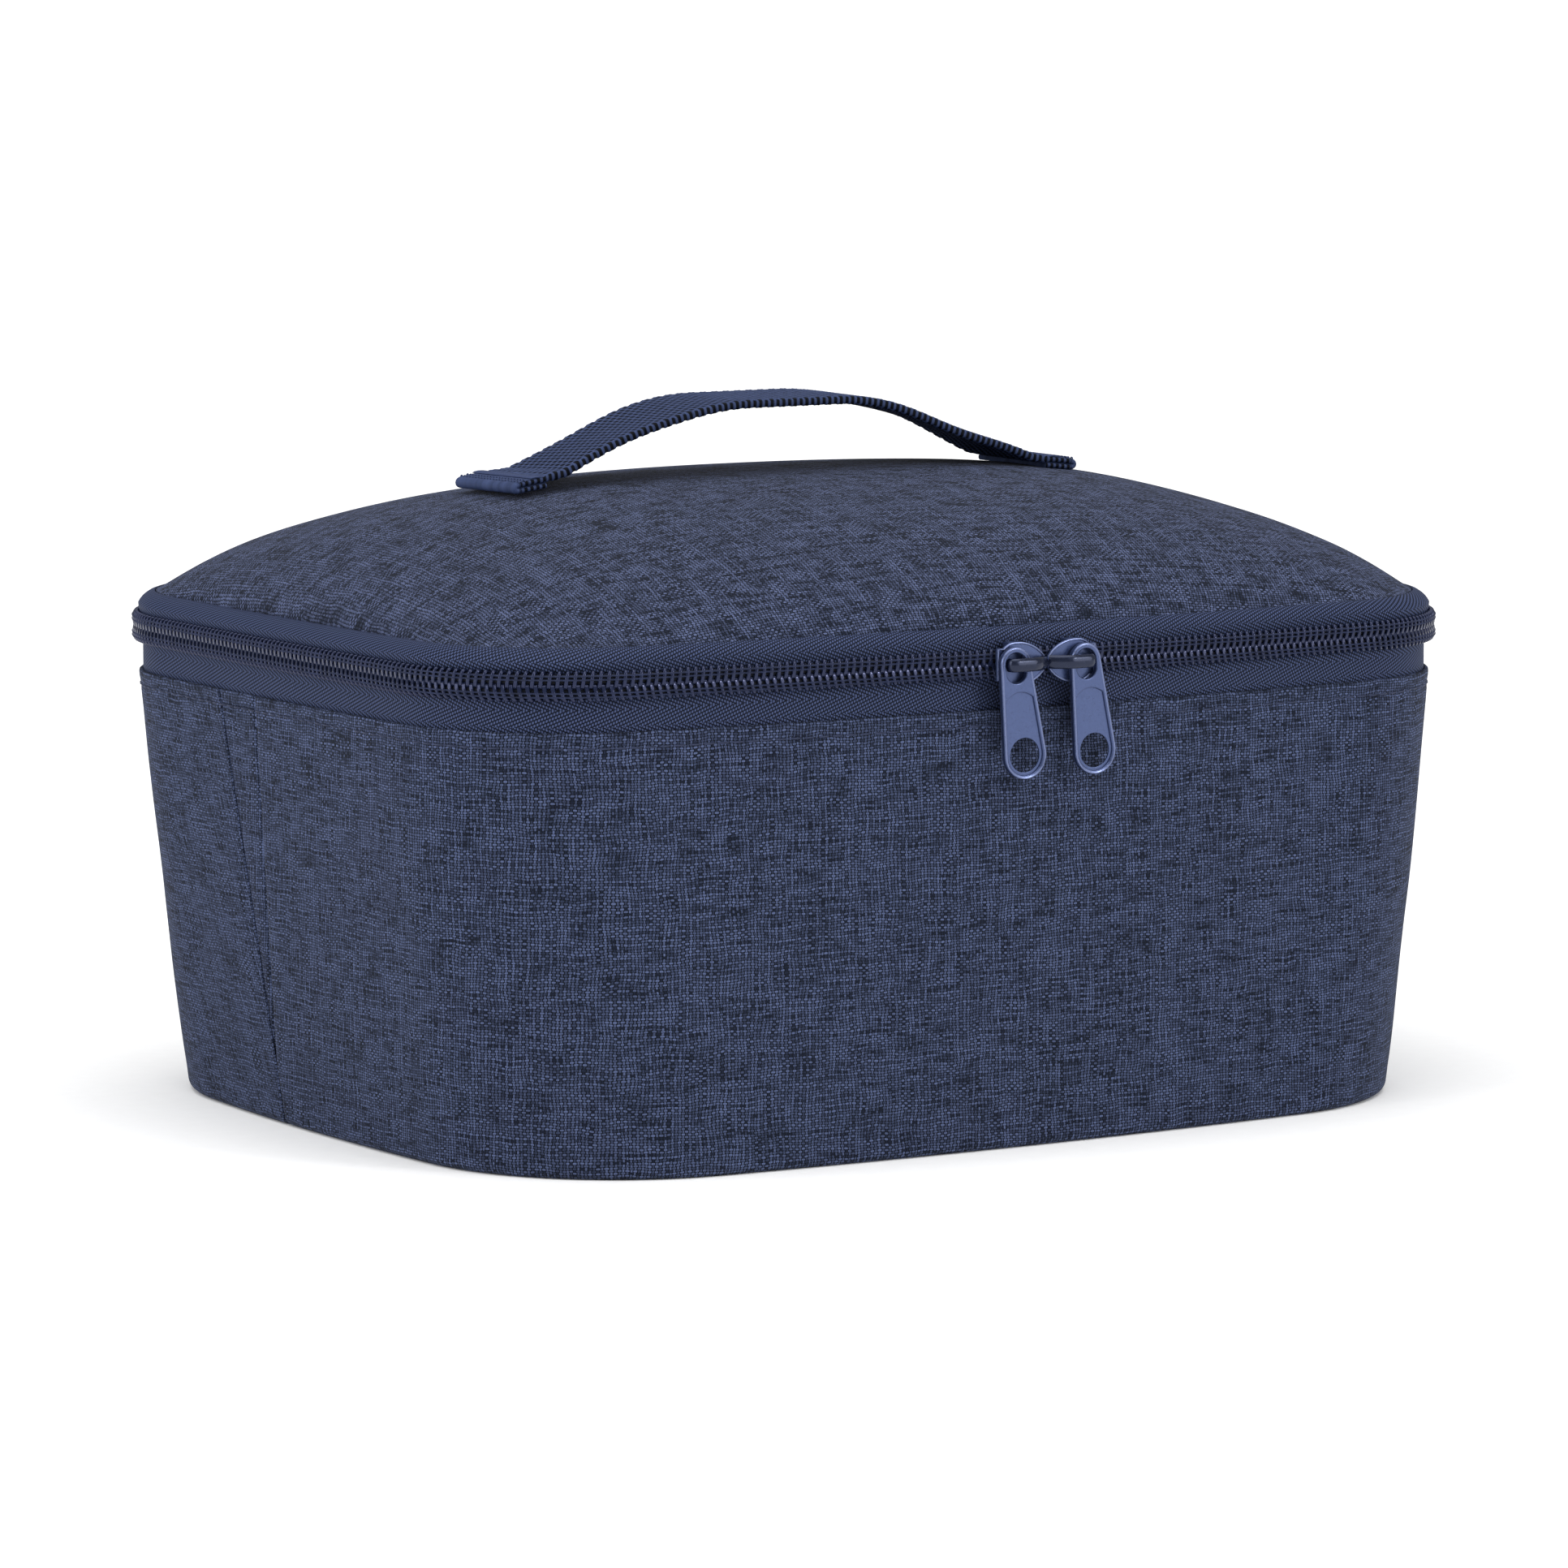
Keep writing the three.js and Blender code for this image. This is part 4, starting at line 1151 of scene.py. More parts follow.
@dataclass
class Insulation:
    """What the wall holds: foam and lining round the inside, the rim's binding, and the floor's layers."""

    finishes: Finishes
    binding_width: float = 5.6
    binding_swell: tuple[float, ...] = (0.1, 0.5, 0.62, 0.5, 0.1)
    foam_foot: float = 4.5
    # How far the floor's cover and lining keep off the solids' outer faces, and how far their edges sink
    sheet_play: float = 0.05
    edge_sink: float = 0.12
    columns: int = 360
    wall_creases: Waves = Waves(11, 0.16, 70, 14)
    floor_creases: Waves = Waves(12, 0.05, 80, 20)

    def hoop(self, outer: list[tuple[float, float]], inner: list[tuple[float, float]],
             waves: Waves | None = None) -> Skin:
        """Makes a closed layer round the wall from two lines of its profile.

        Args:
            outer: Insets and heights of the outward face, upwards.
            inner: Insets and heights of the inward face, with as many points.
            waves: Unevenness of the inward face.

        Returns:
            The layer's mesh in the making.
        """
        share = np.arange(self.columns) / self.columns
        faces = []
        for line, uneven in ((outer, None), (inner, waves)):
            inset, z = np.array(line).T
            along = share * 4 * PLAN.lengths(z[:, None])[2]
            bent = uneven.at(along, z[:, None]) if uneven else 0.0
            faces.append(PLAN.place(along, z[:, None], inset[:, None] - bent)[0])
        edge = np.arange(self.columns + 1) / self.columns * PLAN.whole()
        return sheet_skin(*faces, np.stack(np.meshgrid(edge, run_along(np.array(outer))), -1), wrap=True)

    def floor_sheet(self, inset: float, low: float, high: float, waves: Waves | None = None) -> Skin:
        """Makes a layer of the floor.

        Args:
            inset: Inset of its edge.
            low: Height of its underside.
            high: Height of its top.
            waves: Unevenness of the top.

        Returns:
            The layer's mesh in the making.
        """
        share = np.concatenate([[0.002], np.linspace(0.05, 0.97, 24), [0.99, 1.0]])
        edge, _ = PLAN.place(np.arange(self.columns) / self.columns * PLAN.whole(high), high, inset)
        plane = edge[None, :, :2] * share[::-1, None, None]
        top = np.full(plane.shape[:2], high)
        if waves:
            top = top + waves.at(plane[..., 0], plane[..., 1]) * ease((1 - share[::-1, None]) * 12)
        top[0] -= self.edge_sink
        outer = np.concatenate([plane, top[..., None]], -1)
        inner = np.concatenate([plane, np.full((*plane.shape[:2], 1), low)], -1)
        return sheet_skin(outer, inner, np.concatenate([plane, plane[:, :1]], 1), wrap=True)

    def build(self) -> None:
        """Makes the layers of the wall and of the floor."""
        sizes, looks = LAYERS, self.finishes
        heights = np.linspace(self.foam_foot, PLAN.hem - sizes.lap - sizes.gap, 9)
        foam = self.hoop([(sizes.foam_inset, z) for z in heights],
                         [(sizes.foam_inset + sizes.foam, z) for z in heights])
        foam = dress(foam.object("wall_foam_pad", looks.foam), "base", "foam", "wall_foam")
        lip, lap = sizes.tape_inset + sizes.tape + sizes.gap, PLAN.hem - sizes.lap
        heights = list(np.linspace(sizes.floor_top + sizes.gap, lap, 34))
        outer = [(sizes.lining_inset, z) for z in heights] + [(sizes.lining_inset - 0.1, lap), (lip, lap)]
        top = lap + sizes.lining
        inner = [(sizes.inner, z) for z in heights] + [(sizes.inner - 0.2, top), (lip, top)]
        lining = self.hoop(outer, inner, self.wall_creases)
        dress(lining.object("wall_lining_film", looks.lining), "base", "lining", "wall_lining")
        low = top + sizes.gap
        high = low + self.binding_width
        heights = [low, low + 0.3, (low + high) / 2, high - 0.3, high]
        binding = self.hoop([(lip, z) for z in heights],
                            [(lip + swell, z) for swell, z in zip(self.binding_swell, heights)])
        dress(binding.object("wall_rim_bind", looks.binding), "base", "tape", "wall_rim_binding")
        cover = self.floor_sheet(sizes.base_reach + sizes.gap, self.sheet_play, sizes.fabric)
        dress(cover.object("base_cover", looks.melange), "base", "melange", "base_panel")
        foam = self.floor_sheet(sizes.lining_inset, sizes.board_top + sizes.gap, sizes.floor_foam_top)
        foam = dress(foam.object("base_foam_pad", looks.foam), "base", "foam", "base_foam")
        lining = self.floor_sheet(sizes.inner + sizes.gap, sizes.floor_top - sizes.lining,
                                  sizes.floor_top - self.sheet_play, self.floor_creases)
        dress(lining.object("base_lining_film", looks.lining), "base", "lining", "base_lining")
        board = bpy.data.objects["base_board"]
        board.data.materials.clear()
        board.data.materials.append(looks.board)


@dataclass
class Zip:
    """Two rows of a number eight coil on herringbone tapes, which stop at the hinge, and the hinge's band."""

    finishes: Finishes
    pitch: float = 1.9
    proud: float = 1.5
    thickness: float = 2.4
    half_width: float = 3.6
    head: float = -0.3
    filament: float = 0.46
    points: int = 16
    sides: int = 8
    thread: float = 0.23
    groove: float = 0.2
    tape_step: float = 2.0
    # Half the stretch in front that the sliders pass, how far the upper tape swells beyond it, and over
    # what length that sets in
    travel: float = 98.0
    bulge: float = 1.35
    bulge_onset: float = 22.0
    # How far above the strip's lower edge the bulge begins and is widest, and how far below the upper it ends
    bulge_rows: tuple[float, float, float] = (0.5, 4.2, 0.5)
    ripples: Waves = Waves(21, 0.12, 50, 12)
    # How square the turns are, how high the pressed heads reach, and how much wider they are
    square: float = 0.6
    pressed_top: float = 1.7
    pressed_share: float = 0.15
    thread_levels: tuple[float, float] = (1.25, 2.1)
    thread_sunk: float = 0.35
    thread_weave: float = 0.22
    cord_play: tuple[float, float] = (0.55, 0.25)
    # How far below and above the coil the hinge band bends
    bends: tuple[float, float] = (4.5, 4.0)
    # How far the bars lean to the next seat, and how late they start to, on the lid's row and on the base's
    leans: tuple[tuple[float, float], ...] = ((0.4, 1.2), (0.62, 2.0))

    def ends(self) -> tuple[float, float]:
        """Gives the distances along where the zip starts and ends, on either side of the hinge."""
        reach = PLAN.whole() / 2 - LAYERS.hinge / 2 - LAYERS.gap
        return -reach, reach

    def strip(self, profile: Array, start: float, end: float, middle: float, bulge: float = 0.0) -> Skin:
        """Makes a strip of tape from its profile.

        Args:
            profile: Insets and heights of its outer face, upwards.
            start: Distance along where it starts.
            end: Distance along where it ends.
            middle: Profile distance that the second cloth coordinate starts from.
            bulge: How far the strip swells out above its middle at the ends of the bag.

        Returns:
            The strip's mesh in the making.
        """
        along = np.linspace(start, end, int((end - start) / self.tape_step) + 1)
        inset, z = profile.T
        step = unit(np.gradient(profile, axis=0))
        ripple = self.ripples.at(along, z[:, None]) * ease((z[:, None] - z[0]) / 6)
        foot, widest, top = self.bulge_rows
        swell = np.interp(z, [z[0] + foot, z[0] + widest, z[-1] - top], [0, 1, 0])[:, None] * bulge
        # The sliders' whole travel along the front is left free
        swell = swell * ease((np.abs(along) - self.travel) / self.bulge_onset)
        outer, _ = PLAN.place(along, z[:, None], inset[:, None] - np.abs(ripple) * 0.6 - swell)
        inner, _ = PLAN.place(along, (z - step[:, 0] * LAYERS.tape)[:, None],
                              (inset + step[:, 1] * LAYERS.tape)[:, None] - swell)
        return sheet_skin(outer, inner, np.stack(np.meshgrid(along, run_along(profile) + middle), -1))

    def lower_profile(self) -> Array:
        """Gives the outer face of the lower tape."""
        low, high = PLAN.hem - LAYERS.lap, LAYERS.zip - LAYERS.row_gap / 2
        return np.array([(LAYERS.tape_inset, z) for z in np.linspace(low, high, 12)])

    def upper_profile(self) -> Array:
        """Gives the outer face of the upper tape, which rolls over the lid's rim."""
        low, shoulder = LAYERS.zip + LAYERS.row_gap / 2, LAYERS.rim - LAYERS.rim_roll
        straight = [(LAYERS.tape_inset, z) for z in np.linspace(low, shoulder, 5)[:-1]]
        reach = LAYERS.rim_reach - LAYERS.tape_inset
        roll = [(LAYERS.rim_reach - reach * math.sin(turn), shoulder + LAYERS.rim_roll * math.cos(turn))
                for turn in np.radians(np.linspace(90, 0, 8))]
        return np.array(straight + roll)

    def row(self, up: int) -> tuple[Skin, Skin, Skin]:
        """Winds one row of the coil.

        Args:
            up: 1 for the row on the lid, -1 for the row on the base.

        Returns:
            The filament, its two sewing threads and the cord inside it.
        """
        start, end = self.ends()
        seats = PLAN.stations(LAYERS.zip, -self.proud, start, end, self.pitch)
        turns = len(seats) - 2
        share = np.arange(turns * self.points + 1) / self.points
        angle = share * 2 * math.pi
        half_height = (self.half_width - self.filament - self.head) / 2
        middle = self.head + half_height
        half_depth = self.thickness / 2 - self.filament
        centre = -self.proud + self.thickness / 2
        # The bars in front stand upright at the heads and lean to the right at their outer ends, and the
        # turns pass on to the next seat behind
        lean, bend = self.leans[0] if up > 0 else self.leans[1]
        phase = share % 1
        front = np.clip(phase / 0.5, 0, 1) ** bend
        back = ease(np.clip((phase - 0.5) / 0.5, 0, 1))
        slide = np.floor(share) + lean * front + (1 - lean) * back
        offset = 0.5 if up > 0 else 0.0
        along = np.interp(slide + offset, np.arange(len(seats)), seats)
        flat = np.sign(np.sin(angle)) * np.abs(np.sin(angle)) ** self.square
        rise = middle - half_height * np.cos(angle)
        z = LAYERS.zip + up * rise
        inset = centre - half_depth * flat
        path, normal = PLAN.place(along, z, inset)
        side = np.cross(normal, np.array([0.0, 0.0, 1.0]))
        # The heads that couple are pressed wider and a little hollow in front
        pressed = ease(self.pressed_top - rise) * (flat > 0)
        high = self.filament * (1 + self.pressed_share * pressed)
        filament = tube_skin(Skin(), path, side, self.filament, high, self.sides)
        rings = filament.points[0].reshape(len(path), self.sides, 3)
        front_point = np.argmax(((rings - path[:, None]) * normal[:, None]).sum(-1), 1)
        rings[np.arange(len(path)), front_point] -= normal * (self.groove * pressed)[:, None]
        threads = Skin()
        steps = np.arange(0, turns, 0.125)
        for level in self.thread_levels:
            weave = np.cos(2 * math.pi * steps)
            height = np.full_like(steps, LAYERS.zip + up * (self.half_width - level))
            bars = np.interp(steps + offset + lean * 0.3, np.arange(len(seats)), seats)
            line, out = PLAN.place(bars, height, self.thread_sunk - self.proud - self.thread_weave * weave)
            tube_skin(threads, line, out, self.thread, self.thread, 6)
        ground = np.linspace(start, end, 420)
        line, out = PLAN.place(ground, LAYERS.zip + up * (middle + 0.1), centre)
        high, deep = half_height - self.cord_play[0], half_depth - self.cord_play[1]
        cord = tube_skin(Skin(), line, out, high, deep, 8)
        return filament, threads, cord

    def build(self) -> None:
        """Makes both tapes and coil rows, then the band."""
        start, end = self.ends()
        lower = self.lower_profile()
        upper = self.upper_profile()
        tape = self.strip(lower, start, end, lower[0, 1] - LAYERS.zip)
        dress(tape.object("lower_tape", self.finishes.lower_tape), "base", "tape", "lower_zip_tape")
        tape = self.strip(upper, start, end, upper[0, 1] - LAYERS.zip, self.bulge)
        dress(tape.object("upper_tape", self.finishes.upper_tape), "lid", "tape", "upper_zip_tape")
        for up, body, name in ((-1, "base", "lower"), (1, "lid", "upper")):
            filament, threads, cord = self.row(up)
            dress(filament.object(name + "_coil", self.finishes.coil), body, "coil", name + "_zip_coil")
            dress(threads.object(name + "_coil_thread", self.finishes.zip_thread), body, "coil")
            dress(cord.object(name + "_coil_cord", self.finishes.cord), body, "coil")
        self.hinge_band(np.concatenate([lower, upper]))

    def hinge_band(self, profile: Array) -> None:
        """Makes the cloth that joins the lid to the base behind.

        Args:
            profile: Insets and heights of both tapes, which the band goes on.
        """
        low, high = profile[0, 1], profile[-8, 1]
        fine = np.linspace(low, high, 26)
        straight = np.stack([np.full_like(fine, LAYERS.tape_inset), fine], 1)
        line = np.concatenate([straight, profile[-7:]])
        back, half = PLAN.whole() / 2, LAYERS.hinge / 2
        made = self.strip(line, back - half, back + half, low).object("hinge_band", self.finishes.melange)
        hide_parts("hinge_band_lower", "hinge_band_upper")
        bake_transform(made)
        log.info("hinge_band bends between base and lid")


@dataclass
class Lid:
    """The domed lid: panel, foam, lining, patches behind the handle and the binding inside the rim."""

    finishes: Finishes
    rise: float = 28.4
    end_power: float = 2.64
    end_softness: float = 0.577
    side_power: float = 2.27
    side_softness: float = 0.676
    edge_gap: float = 0.3
    panel_drop: float = 1.2
    layer_gap: float = 0.6
    binding: float = 0.6
    swell: tuple[float, ...] = (0.3, 0.9, 1.0, 1.0, 0.9, 0.3)
    patch: float = 0.8
    puff: float = 0.6
    held: float = 7.0
    # Where the handle is sewn on, and how far that reaches to the front and to the back
    feet: tuple[float, float, float] = (-74.0, 66.0, 15.0)
    # Where the handle draws the cloth up: x, y and height, and how wide the rise is
    tents: tuple[tuple[float, float, float], ...] = ((-79.0, -8.0, 2.2), (69.0, -4.0, 1.4))
    tent_spread: float = 24.0
    # The half span that a trimmed edge is counted against
    trim_span: float = 110.0
    creases: Waves = Waves(32, 0.12, 80, 18)
    columns: int = 420

    def __post_init__(self) -> None:
        """Keeps a quarter of the panel's outline for the dome's shape."""
        quarter = np.linspace(1 / 4, 1 / 2, 800) * PLAN.whole()
        self.quarter = PLAN.place(quarter, PLAN.hem, LAYERS.rim_reach + self.edge_gap)[0][:, :2]

    @property
    def foam_drop(self) -> float:
        """How far below the panel's face the foam lies."""
        return self.panel_drop + self.layer_gap

    @property
    def patch_drop(self) -> float:
        """How far below the panel's face the handle's patches lie."""
        return self.foam_drop + LAYERS.foam + LAYERS.gap

    def height(self, x: Array, y: Array) -> Array:
        """Gives the height of the dome's outer face above its edge.

        Args:
            x: Places across the bag.
            y: Places from front to back.

        Returns:
            Heights.
        """
        xs, ys = self.quarter[:, 0], self.quarter[:, 1]
        reach_x = np.interp(np.abs(y), ys, xs)
        reach_y = np.interp(np.abs(x), xs[::-1], ys[::-1])
        u = np.clip(np.abs(x) / np.maximum(reach_x, 1), 0, 1)
        v = np.clip(np.abs(y) / np.maximum(reach_y, 1), 0, 1)
        dome = (1 - u ** self.end_power) ** self.end_softness
        dome = dome * (1 - v ** self.side_power) ** self.side_softness
        drawn = sum(lift * np.exp(-((x - tent_x) ** 2 + (y - tent_y) ** 2) / (2 * self.tent_spread ** 2))
                    for tent_x, tent_y, lift in self.tents)
        return self.rise * dome + drawn * ease(5 * (1 - np.maximum(u, v)))

    def layer(self, trim: float, drop: float, thickness: float, waves: Waves | PressedCloth | None = None,
              fine: int = 56) -> Skin:
        """Makes a layer of the lid.

        Args:
            trim: How far its edge is trimmed back from the panel's.
            drop: How far below the panel's face it lies.
            thickness: Its thickness.
            waves: Unevenness of its upper face.
            fine: Rings from the edge to the middle.

        Returns:
            The layer's mesh in the making.
        """
        along = np.arange(self.columns) / self.columns * PLAN.whole()
        edge, _ = PLAN.place(along, PLAN.hem, LAYERS.rim_reach + self.edge_gap)
        # The last ring is so small that the shell looks closed in the middle
        share = np.sin(np.linspace(math.pi / 2, 0.0006, fine)) * (1 - trim / self.trim_span)
        x, y = edge[None, :, 0] * share[:, None], edge[None, :, 1] * share[:, None]
        height = LAYERS.rim + self.height(x, y) - drop
        bent = waves.at(x, y) * ease((1 - share[:, None]) * 9) if waves else 0.0
        upper = np.stack([x, y, height + bent], -1)
        lower = np.stack([x, y, height + bent - thickness], -1)
        # The cloth is measured along its own slope on each line from the middle to the edge
        radius = np.hypot(x, y)
        steps = np.hypot(np.diff(radius, axis=0), np.diff(height, axis=0))[::-1]
        run = np.concatenate([np.zeros_like(radius[:1]), np.cumsum(steps, 0)])[::-1] + radius[-1]
        cloth = np.stack([x, y], -1) * (run / radius)[..., None]
        return sheet_skin(upper, lower, np.concatenate([cloth, cloth[:, :1]], 1), wrap=True)

    def build(self) -> None:
        """Makes the lid's layers from the panel down."""
        sizes, looks = LAYERS, self.finishes
        reach_x, reach_y = float(self.quarter[0, 0]), float(self.quarter[-1, 1])
        left, right, depth = self.feet

        def held(x: Array, y: Array) -> Array:
            """Tells where the rim and the handle's feet hold the cloth."""
            near_end = np.abs(x) > np.interp(np.abs(y), self.quarter[:, 1], self.quarter[:, 0]) - self.held
            near_foot = (np.abs(x - left) < self.held) | (np.abs(x - right) < self.held)
            return near_end | (np.abs(y) > reach_y - self.held) | (np.abs(y) < depth) & near_foot

        pressed = PressedCloth("lid", (-reach_x, -reach_y), (reach_x, reach_y), (46, 34), self.puff, held)
        panel = self.layer(0.0, 0.0, sizes.fabric, pressed, 90)
        dress(panel.object("lid_top", looks.lid_melange), "lid", "melange", "lid_panel")
        trim = self.binding + 2 * sizes.gap
        foam = self.layer(trim, self.foam_drop, sizes.foam)
        foam = dress(foam.object("lid_foam_pad", looks.foam), "lid", "foam", "lid_foam")
        lining = self.layer(trim, self.patch_drop + self.patch + sizes.gap, sizes.lining, self.creases)
        dress(lining.object("lid_lining_film", looks.lining), "lid", "lining", "lid_lining")
        inset = sizes.rim_reach + self.edge_gap
        low, high = sizes.zip + sizes.row_gap / 2, sizes.rim - sizes.tape - self.panel_drop - sizes.gap
        heights = np.linspace(low, high, 6)
        hoop = Insulation(looks).hoop([(inset, z) for z in heights],
                                      [(inset + self.binding * s, z) for s, z in zip(self.swell, heights)])
        dress(hoop.object("lid_rim_bind", looks.binding), "lid", "tape", "lid_rim_binding")


@dataclass
class Handle:
    """Webbing sewn across the lid: its ends are turned under and bar-tacked, and it arches between them."""

    finishes: Finishes
    lid: Lid
    width: float = 30.0
    thickness: float = 1.9
    span: float = 156.7
    shift: float = -4.05
    rise: float = 16.1
    turn_under: float = 8.0
    foot_thickness: float = 1.4
    foot_gap: float = 0.06
    foot_lift: float = 0.5
    foot_press: float = 0.55
    left_arch: tuple[tuple[float, float], ...] = ((-64.1, -15.0), (-44.6, -6.4), (-29.6, 0.0), (-13.6, 0.0))
    right_arch: tuple[tuple[float, float], ...] = ((10.4, 0.0), (26.4, 0.0), (44.4, -6.6), (65.4, -15.7))
    foot_zone: tuple[float, float] = (50.0, 15.0)
    # Height of the far edge over the middle's where the strap twists, the place and how wide the twist is
    twists: tuple[tuple[float, float, float], ...] = ((-0.9, -52.0, 16.0), (1.8, 44.0, 14.0))
    # The left end's tilt and sway, and where they set in and over what length
    foot_tilt: float = -0.35
    tilt_zone: tuple[float, float] = (30.0, 20.0)
    sway: float = 0.04
    sway_zone: tuple[float, float] = (20.0, 40.0)
    course: float = 1.6
    brick: float = 2.56
    relief: float = 0.34
    tooth: float = 0.25
    # Shares of the relief and of the teeth that the stitching leaves on the feet
    flat_relief: float = 0.08
    flat_teeth: float = 0.2
    gathering: float = 1.15
    edge_round: float = 0.9
    edge_bare: float = 0.1
    step: float = 0.4
    patch_size: float = 36.0
    tack_place: float = 7.0
    tack_length: float = 4.2
    tack_pitch: float = 0.5
    tack_margin: float = 0.4
    row_places: tuple[float, ...] = (1.7, 3.3)
    row_stitch: float = 1.0
    row_pitch: float = 1.5
    thread: float = 0.2

    def under(self, x: Array) -> Array:
        """Gives the height of the lower layer's middle over the dome."""
        dome = self.lid.height(x + self.shift, np.zeros_like(x))
        start, length = self.foot_zone
        lift = self.foot_lift * ease((-start - x) / length) - self.foot_press * ease((x - start) / length)
        return LAYERS.rim + dome + LAYERS.gap + self.foot_thickness / 2 + lift

    def tilt(self, x: Array) -> Array:
        """Gives how far the left end tilts: the far edge's height over the middle's."""
        start, length = self.tilt_zone
        return self.foot_tilt * ease((-start - x) / length)

    @property
    def layer(self) -> float:
        """Distance between the middles of the foot's two layers."""
        return self.foot_thickness + self.foot_gap

    def foot(self, sign: int) -> Array:
        """Gives the middle line of a foot, from its tucked end round the fold to where the arch starts."""
        half = self.span / 2 - self.foot_thickness
        low = np.linspace(half - self.turn_under, half, 30) * sign
        turn = np.radians(np.linspace(-80, 80, 9))
        reach = self.layer / 2
        middle = float(self.under(np.array(half * sign))) + reach
        fold = np.stack([(half + np.cos(turn) * reach) * sign, middle + np.sin(turn) * reach], 1)
        over = low[::-1][:-1]
        lower, upper = [np.stack([x, self.under(x) + lift], 1)
                        for x, lift in ((low, 0.0), (over, self.layer))]
        return np.concatenate([lower, fold, upper])

    def line(self) -> Array:
        """Gives the strap's middle line seen from the front, from one turned-under end to the other."""
        crown = float(self.under(np.array(0.0))) + self.rise
        arches = [bezier(pulls, 60) + [0, crown] for pulls in (self.left_arch, self.right_arch)]
        joined = np.concatenate([self.foot(-1), *arches, self.foot(1)[::-1]])
        return smoothed(spaced(joined, int(run_along(joined)[-1] / self.step) + 1), 4)

    def build(self) -> None:
        """Makes the strap with its woven face, the bar tacks and the patches under the lid's foam."""
        line = self.line()
        tangent = unit(np.gradient(line, axis=0))
        normal = np.stack([-tangent[:, 1], tangent[:, 0]], 1)
        run, half_width = run_along(line), self.width / 2
        # How free the strap is of its feet, where the stitching flattens it
        free = ease((self.span / 2 - self.turn_under - np.abs(line[:, 0])) / 5 + 0.4)
        folds = run[line[:, 0].argmin()], run[line[:, 0].argmax()]
        free = free * ((run > folds[0]) & (run < folds[1]))
        # The points lie closer together near the edges
        share = np.linspace(-1, 1, int(self.width / self.step) + 1)
        share = np.sign(share) * (1 - (1 - np.abs(share)) ** self.gathering)
        tooth = self.tooth * np.abs(np.sin(math.pi * run / self.course))
        tooth = tooth * (self.flat_teeth + (1 - self.flat_teeth) * free)
        across = share[:, None] * (half_width - tooth[None])
        phase = across / self.brick + 0.5 * np.floor(run / self.course)[None]
        course = np.sin(math.pi * (run / self.course % 1))[None]
        relief = self.relief * (self.flat_relief + (1 - self.flat_relief) * free)
        rounding = np.clip((np.abs(across) - (half_width - self.edge_round)) / self.edge_round, 0, 1)
        edge = np.sqrt(np.clip(1 - rounding ** 2, 0.02, 1))
        thick = self.foot_thickness + (self.thickness - self.foot_thickness) * free
        half = thick / 2 - relief * 0.6
        twist = sum(height * np.exp(-((line[:, 0] - place) / spread) ** 2)
                    for height, place, spread in self.twists) * free + self.tilt(line[:, 0])
        askew = self.sway * ease((-self.sway_zone[0] - line[:, 0]) / self.sway_zone[1])
        faces = []
        # The bricks of the lower face lie half a brick on
        for sign, shifted in ((1, 0.0), (-1, 0.5)):
            offset = sign * edge * (half + relief * (1 - np.sin(math.pi * ((phase + shifted) % 1)) * course))
            x = line[None, :, 0] + normal[None, :, 0] * offset + self.shift + askew * across
            z = line[None, :, 1] + normal[None, :, 1] * offset + twist * across / half_width
            faces.append(np.stack([x, across, z], -1))
        # Stitched flat, the feet show pits along the edges only and none on the folds
        loose = run[free > 0.5] / self.course
        first, last = math.ceil(loose[0]) * self.course, math.floor(loose[-1]) * self.course
        border = (math.floor(self.width / self.brick - 0.5) / 2 + 0.25) * self.brick
        place = np.clip(run, first, last)[None] + 0 * across
        off_fold = np.abs(run[:, None] - folds).min(1) > self.course
        rim = (np.abs(across) > border - self.edge_bare) & off_fold
        cloth = np.stack([np.where(rim, run[None], place), np.clip(across, -border, border)], -1)
        webbing = sheet_skin(*faces, cloth).object("handle_webbing", self.finishes.webbing)
        dress(webbing, "lid", "webbing", "handle_strap")
        self.bar_tacks()
        for side in Side:
            self.backing_patch(side)

    def bar_tacks(self) -> None:
        """Sews a dense bar of stitches and two rows of plain ones across each end."""
        skin = Skin()
        edge = self.width / 2 - self.tack_margin
        for side in Side:
            rows = [(self.tack_place, self.tack_pitch, self.tack_length, [1, 0, 0])]
            rows += [(place, self.row_pitch, self.row_stitch, [0, 1, 0]) for place in self.row_places]
            for place, pitch, length, along in rows:
                x = side.value * (self.span / 2 - place)
                z = float(self.under(np.array(x))) + self.layer + self.foot_thickness / 2
                y = np.arange(-edge, edge, pitch)
                middles = np.stack([x + self.shift + self.sway * y * (x < 0), y,
                                    z + self.tilt(x) * y / (self.width / 2)], 1)
                stitches(skin, middles, along, [0, 0, 1], length, self.thread)
        dress(skin.object("handle_bar_tacks", self.finishes.strap_thread), "lid", "webbing")

    def backing_patch(self, side: Side) -> None:
        """Makes the patch under the foam that backs one end's stitching.

        Args:
            side: The side of the bag.
        """
        middle = side.value * (self.span / 2 - self.turn_under / 2) + self.shift
        half = self.patch_size / 2
        line = np.linspace(-half, half, 20)
        x, y = np.meshgrid(middle + line, line)
        upper = LAYERS.rim + self.lid.height(x, y) - self.lid.patch_drop
        faces = [np.stack([x, y, upper - below], -1) for below in (0.0, self.lid.patch)]
        name = side.name.lower()
        patch = sheet_skin(*faces, np.stack([x, y], -1))
        patch = patch.object("handle_backing_" + name, self.finishes.webbing)
        dress(patch, "lid", "webbing", "handle_patch_" + name)


